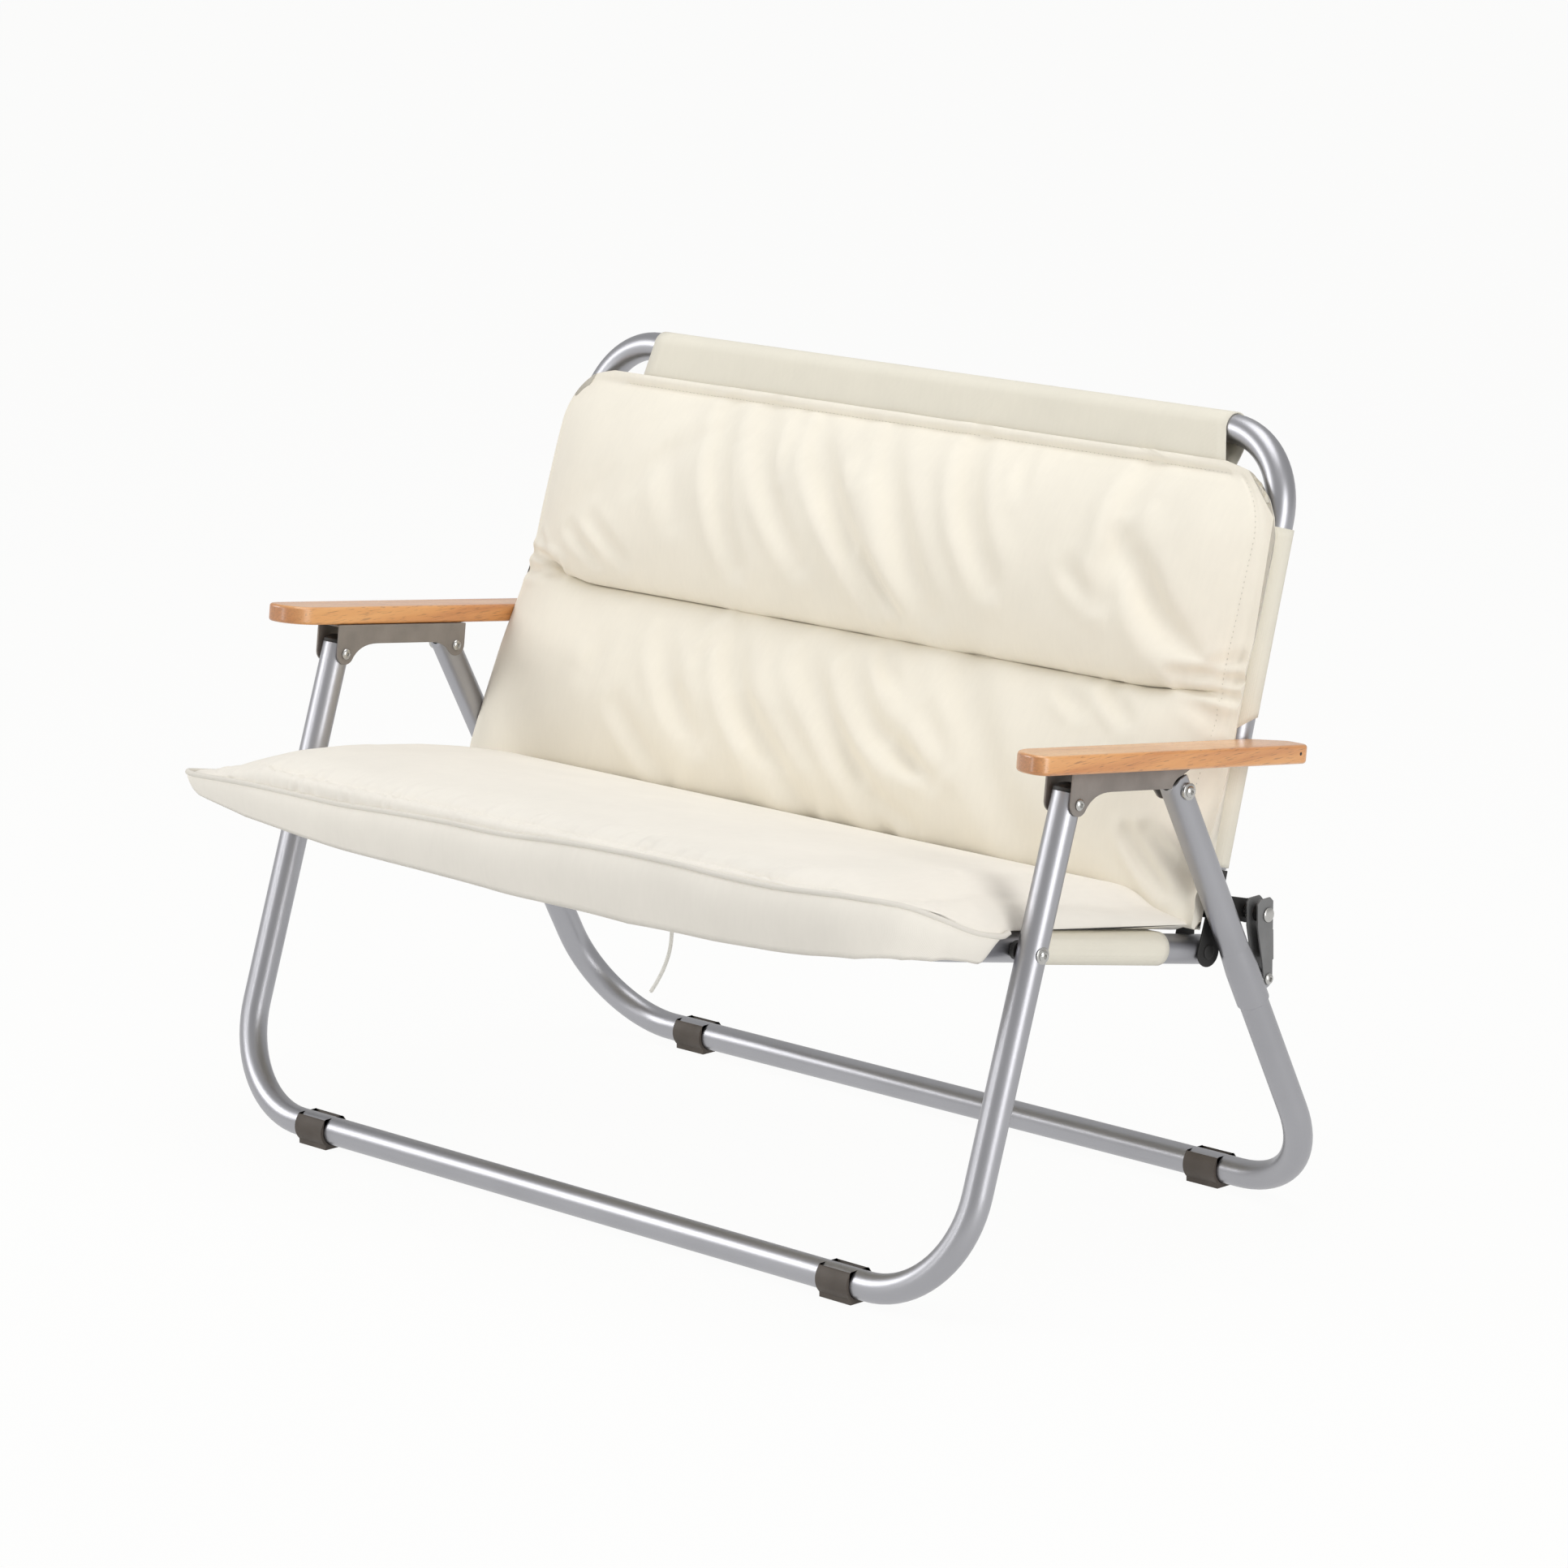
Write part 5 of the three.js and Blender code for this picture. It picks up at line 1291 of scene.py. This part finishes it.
def back_cushion():
    folds = fold_lines(BACK_FOLDS)
    grid, section = back_grid(*BACK_MESH)
    grid[:, :, 1] += FOLDED_BEFORE * pleats(grid[:, :, 0], grid[:, :, 2], folds)
    crease = int(np.argmin(section[:, 1] + (np.abs(section[:, 0] - CHANNEL_AT) > CREASE_RANGE)))
    inside = back_half(section[:, 2])[:, None] - np.abs(grid[:, :, 0])
    sewn = np.zeros(BACK_MESH, bool)
    sewn[:2] = sewn[-4:] = True
    sewn[:, :2] = sewn[:, -4:] = True
    channel = slice(crease - 1, crease + 2)
    sewn[channel] |= inside[channel] > CHANNEL_END
    grid = simulate(grid, BACK_SLACK, sewn, BACK_SWELL)
    grid = finer(grid)
    u, v = grid[:, :, 0], grid[:, :, 2]
    sharper = np.where(v < FOLDS_PART_AT, LOWER_FOLDS, UPPER_FOLDS)
    grid = grid - normals_of(grid) * (sharper * pleats(u, v, folds))[:, :, None]
    normal = normals_of(grid)
    for step, depth in SEAM_GROOVE:
        for line in ((SEAM_ROWS, SEAM_COLUMN + step), (SEAM_ROW + step, SEAM_COLUMNS)):
            grid[line] -= depth * normal[line]
    rear = grid[::-UNDERSIDE_STEP][1:].copy()
    ends = np.minimum(rear[:, (0, -1), 1] + SIDE_LIP, -CUSHION_BASE)
    rear[:, :, 1] = -CUSHION_BASE
    rear[:, (0, -1), 1] = ends
    pad = Piece(closed_pad(grid, grid[-1:] + (0, TOP_LIP, 0), rear))
    normal = normals_of(grid)
    for line in ((SEAM_ROW, SEAM_COLUMNS), (SEAM_ROWS, SEAM_COLUMN)):
        stitches(pad, grid[line] + normal[line] * STITCH_LIFT, normal[line], 1)
    make_pad(pad, "back_pad", [cushion_cloth, stitch_thread_painted_shade], "back", BACK, "back_cushion")


# Seat cushion
SEAT_CROWN = 0.067
SEAT_HALF = 0.478
SEAT_MESH = (78, 139)
SEAT_CROWD = 0.25
SEAT_SLACK = 0.018
SEAT_SWELL = 0.008
SEAT_EDGE_WIDTH = 0.02
HOOD_START = SEAT_PIVOT_AT + TUBE_RADIUS
HOOD_FLARE = 0.014
HOOD_SEAM = (SEAT_BAR - 0.11, SEAT_BAR + 0.02)
HOOD_SIDE = (-0.144, -0.112)
PUCKER_SPAN = (-0.47, 0.43)
PUCKER_START = 0.004
PUCKER_LENGTH = (0.012, 0.036)
PUCKER_LEAN = (-0.4, 0.4)
PUCKER_WIDTH = (0.003, 0.005)
PUCKER_DEPTH = (0.001, 0.0026)
PUCKER_GAP = (0.012, 0.034)
SEAT_FOLD_SHARE = 0.75
FOLDS_ABOVE = CUSHION_BASE + 0.002
UNDER_GAP = 0.001

# Its piping: (x, distance past the front bar, height over the rails)
PIPING = np.array([
    (-0.482, -0.144, 0.016), (-0.482, -0.133, 0.012), (-0.483, -0.097, 0.013),
    (-0.483, -0.05, 0.013), (-0.4825, -0.012, 0.013), (-0.480, 0.012, 0.013),
    (-0.456, 0.021, 0.0125), (-0.379, 0.024, 0.0155), (-0.294, 0.025, 0.0165),
    (-0.234, 0.026, 0.017), (-0.164, 0.027, 0.0205), (-0.084, 0.027, 0.0235),
    (-0.027, 0.027, 0.024), (0.013, 0.027, 0.0255), (0.062, 0.027, 0.029), (0.11, 0.027, 0.0315),
    (0.17, 0.027, 0.0332), (0.228, 0.027, 0.0335), (0.281, 0.026, 0.0325), (0.333, 0.025, 0.0325),
    (0.364, 0.024, 0.0335), (0.395, 0.021, 0.0355), (0.421, 0.014, 0.037), (0.438, 0.005, 0.037),
    (0.456, -0.009, 0.0365), (0.468, -0.027, 0.034), (0.478, -0.057, 0.026),
    (0.482, -0.097, 0.0155), (0.482, -0.133, 0.012), (0.482, -0.144, 0.016),
])
LEFT_TIP = 6
RIGHT_CORNER = 21

# Drop of the border under the piping, at x
BORDER_DROP = [
    (-0.483, 0.0012), (-0.4825, 0.004), (-0.480, 0.010), (-0.456, 0.019), (-0.379, 0.032),
    (-0.294, 0.039), (-0.234, 0.0425), (-0.164, 0.047), (-0.084, 0.051), (-0.027, 0.0525),
    (0.062, 0.0582), (0.17, 0.063), (0.281, 0.0595), (0.333, 0.057), (0.395, 0.056),
    (0.438, 0.0535), (0.468, 0.0465), (0.478, 0.038), (0.482, 0.0265),
]
BORDER_IN = 0.0045
BORDER_BELLY = 0.007
BELLY_HIGH = 0.8
BELLY_FULL_DROP = 0.05
BORDER_PUFF = 0.004
PUFF_FULL_DROP = 0.04
BORDER_MESH = (11, 5, 360)
BORDER_WAVES = 26
WAVE_HEIGHT = (0.2, 1)
WAVE_RATE = (0.04, 0.5)
WAVE_START = (0, 6.3)
UNDER_NARROW = 0.8
UNDER_HEIGHT = -0.0135
UNDER_BACK = 0.02
PIPING_RADIUS = 0.0027
PIPING_OUT = 0.0006

# Height of the pad's side seam, and rows over the pad as (distance, share of the crown)
SEAT_EDGE = [(0.029, 0.0245), (0.101, 0.021), (0.156, 0.0185), (0.211, 0.0175), (0.26, 0.0165)]
SEAT_ROWS = [
    (0.034, 0.0), (0.0245, 0.1), (0.023, 0.26), (0.03, 0.5), (0.046, 0.73), (0.075, 0.875),
    (0.13, 0.965), (0.198, 1.0), (0.3, 1.0), (0.36, 0.95), (0.405, 0.83), (0.43, 0.66),
    (0.4425, 0.44), (0.4475, 0.2), (0.448, 0.0),
]
SEAT_FRONT = SEAT_ROWS[-1][0]
ROW_SCALE = 0.1
CROWN_MOST = 1.02

# How far in from the pad's sides it rises to the crown, at a distance from the hinge
LEFT_REACH = [(0.2, 0.078), (0.36, 0.13), (0.43, 0.15)]
RIGHT_REACH = [(0.05, 0.06), (0.25, 0.07), (0.36, 0.1)]
LEFT_POWER = 1.7
RIGHT_POWER = 1.9

# Its folds: points of (across, forward) in mm, then width and depth in 0.1 mm
SEAT_FOLDS = [
    (-420, 330, -360, 400, 120, 20), (-280, 300, -220, 390, 140, 22),
    (-100, 330, -60, 420, 120, 22), (60, 300, 120, 400, 140, 20), (220, 330, 260, 420, 120, 22),
    (360, 310, 420, 400, 120, 30), (400, 300, 455, 360, 90, 26), (-200, 120, -80, 200, 180, 22),
    (120, 100, 220, 200, 180, 22), (300, 120, 400, 180, 140, 22), (-400, 140, -300, 220, 180, 18),
]


def seat_sides(s):
    """Left and right edge of the seat pad at a distance from the hinge, as (x, height) pairs."""
    flare = ease(s, HOOD_START, HOOD_START + HOOD_FLARE)
    narrow_n = table(s, SEAT_EDGE)
    sides = []
    for run, side in ((PIPING[LEFT_TIP::-1], -1), (PIPING[RIGHT_CORNER:], 1)):
        run = run[np.argsort(run[:, 1])]
        x, n = (np.interp(s - SEAT_BAR, run[:, 1], run[:, k]) for k in (0, 2))
        narrow = side * SEAT_HALF
        sides.append((narrow + (x - narrow) * flare, narrow_n + (n - narrow_n) * flare))
    return sides


def seat_grid(row_count, column_count):
    """The seat pad's upper surface, row by row from the rear to the piping."""
    rows = smooth_line([(s, share * ROW_SCALE) for s, share in SEAT_ROWS], row_count)
    across = (1 + crowded(column_count, SEAT_CROWD)) / 2
    front_x, front_past, front_n = PIPING[LEFT_TIP:RIGHT_CORNER + 1].T
    grid = []
    for s, height in rows:
        (left, left_n), (right, right_n) = seat_sides(s)
        x = left + (right - left) * across
        reach = np.interp(x, front_x, front_past) + SEAT_BAR - SEAT_FRONT
        bow = reach * ease(s, HOOD_START, SEAT_FRONT)
        seam = left_n + (right_n - left_n) * across
        seam = seam + (np.interp(x, front_x, front_n) - seam) * ease(s, *HOOD_SEAM)
        from_left = np.clip((x - left) / table(s, LEFT_REACH), 0, 1)
        from_right = np.clip((right - x) / table(s, RIGHT_REACH), 0, 1)
        full = (1 - (1 - from_left) ** LEFT_POWER) * (1 - (1 - from_right) ** RIGHT_POWER)
        n = seam + (SEAT_CROWN - seam) * np.clip(height / ROW_SCALE, 0, CROWN_MOST) * full
        grid.append(points_of(x, -(s + bow), n))
    return np.array(grid)


def piping_puckers():
    """Short creases that run back from the piping, unevenly spaced."""
    lines = []
    at, end = PUCKER_SPAN
    while at < end:
        length = rng.uniform(*PUCKER_LENGTH)
        lean = rng.uniform(*PUCKER_LEAN) * length
        points = np.array([(at, SEAT_FRONT + PUCKER_START), (at + lean, SEAT_FRONT - length)])
        lines.append((points, rng.uniform(*PUCKER_WIDTH), rng.uniform(*PUCKER_DEPTH)))
        at += rng.uniform(*PUCKER_GAP)
    return lines


def seat_pad():
    grid = seat_grid(*SEAT_MESH)
    folds = fold_lines(SEAT_FOLDS)
    puckers = piping_puckers()
    grid[:, :, 2] -= FOLDED_BEFORE * pleats(grid[:, :, 0], -grid[:, :, 1], folds)
    sewn = np.zeros(SEAT_MESH, bool)
    sewn[:2] = sewn[-2:] = True
    sewn[:, :2] = sewn[:, -2:] = True
    grid = simulate(grid, SEAT_SLACK, sewn, SEAT_SWELL)
    grid = finer(grid)
    sunk = SEAT_FOLD_SHARE * pleats(grid[:, :, 0], -grid[:, :, 1], [*folds, *puckers])
    shown = grid[:, :, 2] > FOLDS_ABOVE
    grid = grid - normals_of(grid) * np.where(shown, sunk, 0)[:, :, None]
    under = grid[::-UNDERSIDE_STEP][1:].copy()
    edge = np.minimum(under[:, :, 0] - under[:, :1, 0], under[:, -1:, 0] - under[:, :, 0])
    inside = np.clip(edge / SEAT_EDGE_WIDTH, 0, 1)
    base = np.minimum(CUSHION_BASE, grid[-1, None, :, 2] - UNDER_GAP)
    under[:, :, 2] = under[:, :1, 2] * (1 - inside) + base * inside
    points, faces = closed_pad(grid, under)
    pad = Piece((points, [face[::-1] for face in faces]))
    make_pad(pad, "seat_pad", [seat_cover], "seat", SEAT, "seat_cushion")


def seat_front():
    """The front border under the piping, with its underside drawn back to the sling."""
    rows, under_rows, count = BORDER_MESH
    x, past, n = smooth_line(PIPING, count).T
    upper = points_of(x, -(SEAT_BAR + past), n)
    outward = unit(np.cross(np.gradient(upper, axis=0), (0, 0, 1)))
    drop = table(x, BORDER_DROP) * np.where(x > 0, ease(past, *HOOD_SIDE), 1)
    lower = upper - points_of(0, 0, drop) - outward * BORDER_IN
    ripple = np.zeros(count)
    for _ in range(BORDER_WAVES):
        height = rng.uniform(*WAVE_HEIGHT)
        rate = rng.uniform(*WAVE_RATE)
        start = rng.uniform(*WAVE_START)
        ripple += height * np.sin(np.arange(count) * rate + start) / BORDER_WAVES
    grid = []
    for q in np.linspace(0, 1, rows):
        belly = BORDER_BELLY * math.sin(math.pi * q ** BELLY_HIGH) * np.clip(drop / BELLY_FULL_DROP, 0, 1)
        puff = BORDER_PUFF * ripple * math.sin(math.pi * q) * np.clip(drop / PUFF_FULL_DROP, 0, 1)
        grid.append(upper + (lower - upper) * q + outward * (belly + puff)[:, None])
    inner = points_of(lower[:, 0] * UNDER_NARROW,
                      np.maximum(lower[:, 1], -SEAT_BAR + SEAT_BEND) + UNDER_BACK, UNDER_HEIGHT)
    under = [lower + (inner - lower) * q for q in np.linspace(0, 1, under_rows)]
    border = Piece((np.concatenate(grid), grid_faces(rows, count)),
                   (np.concatenate(under), grid_faces(under_rows, count)))
    made = border.make("seat_border", [seat_cover], "seat", SEAT, "cushion_cloth", "seat_cushion",
                       sharp=50)
    thicken(made)
    piping = Piece(sweep(upper + outward * PIPING_OUT, PIPING_RADIUS, 12))
    piping.make("seat_piping", [piping_painted_shade_cloth], "seat", SEAT, "cushion_cloth", sharp=60)


back_cushion()
seat_pad()
seat_front()

# Stage and light
FLOOR_SIZE = 60
FLOOR_SHARE = 0.95
FILL = 0.38
GLOSSY_SHARE = 0.4
CENTRE = (0, 0, 0.4)


def seen_apart(tree, glossy, share, lighting, seen):
    """One shader for what lights the object, another for what the camera sees behind it."""
    paths = node(tree, "LightPath").outputs
    shown = math_node(tree, "MAXIMUM", paths["Is Camera Ray"],
                      math_node(tree, "MULTIPLY", paths["Is Glossy Ray"], glossy))
    shown = math_node(tree, "MAXIMUM", shown, paths["Is Transmission Ray"])
    shown = math_node(tree, "MULTIPLY", shown, share)
    return node(tree, "MixShader", shown, lighting.outputs[0], seen.outputs[0]).outputs[0]


def add_floor():
    """A pale floor that keeps the shadow."""
    mesh = bpy.data.meshes.new("floor")
    corners = [(-1, -1), (1, -1), (1, 1), (-1, 1)]
    mesh.from_pydata([(x * FLOOR_SIZE, y * FLOOR_SIZE, 0) for x, y in corners], [], [(0, 1, 2, 3)])
    made = bpy.data.materials.new("pale_floor")
    made.use_nodes = True
    tree = made.node_tree
    tree.nodes.clear()
    diffuse = node(tree, "BsdfDiffuse", Color=(0.76, 0.76, 0.755, 1))
    glow = node(tree, "Emission", Color=(1, 1, 0.995, 1), Strength=1.0)
    node(tree, "OutputMaterial", Surface=seen_apart(tree, 1.0, FLOOR_SHARE, diffuse, glow))
    mesh.materials.append(made)
    put("floor", mesh)


def add_world():
    world = bpy.data.worlds.new("studio")
    bpy.context.scene.world = world
    world.use_nodes = True
    tree = world.node_tree
    tree.nodes.clear()
    fill = node(tree, "Background", Color=(1.0, 0.997, 0.992, 1), Strength=FILL)
    seen = node(tree, "Background", Color=(0.975, 0.975, 0.97, 1), Strength=1.0)
    node(tree, "OutputWorld", Surface=seen_apart(tree, GLOSSY_SHARE, 1.0, fill, seen))


def add_lamp(name, place, width, height, power):
    """A rectangular lamp that faces the chair."""
    data = bpy.data.lights.new(name, "AREA")
    data.shape = "RECTANGLE"
    data.size = width
    data.size_y = height
    data.energy = power
    lamp = put(name, data)
    lamp.location = place
    lamp.rotation_mode = "QUATERNION"
    lamp.rotation_quaternion = (Vector(CENTRE) - Vector(place)).to_track_quat("-Z", "Y")


add_floor()
add_world()
add_lamp("key", (-2.6, -2.5, 2.1), 1.8, 1.8, 52)
add_lamp("strip", (-1.0, -3.5, 0.9), 0.5, 1.6, 12)
add_lamp("top", (0.3, 0.3, 3.4), 2.6, 1.8, 40)
add_lamp("side", (3.3, -0.4, 1.25), 1.4, 2.4, 45)

bpy.context.scene.view_settings.view_transform = "Standard"
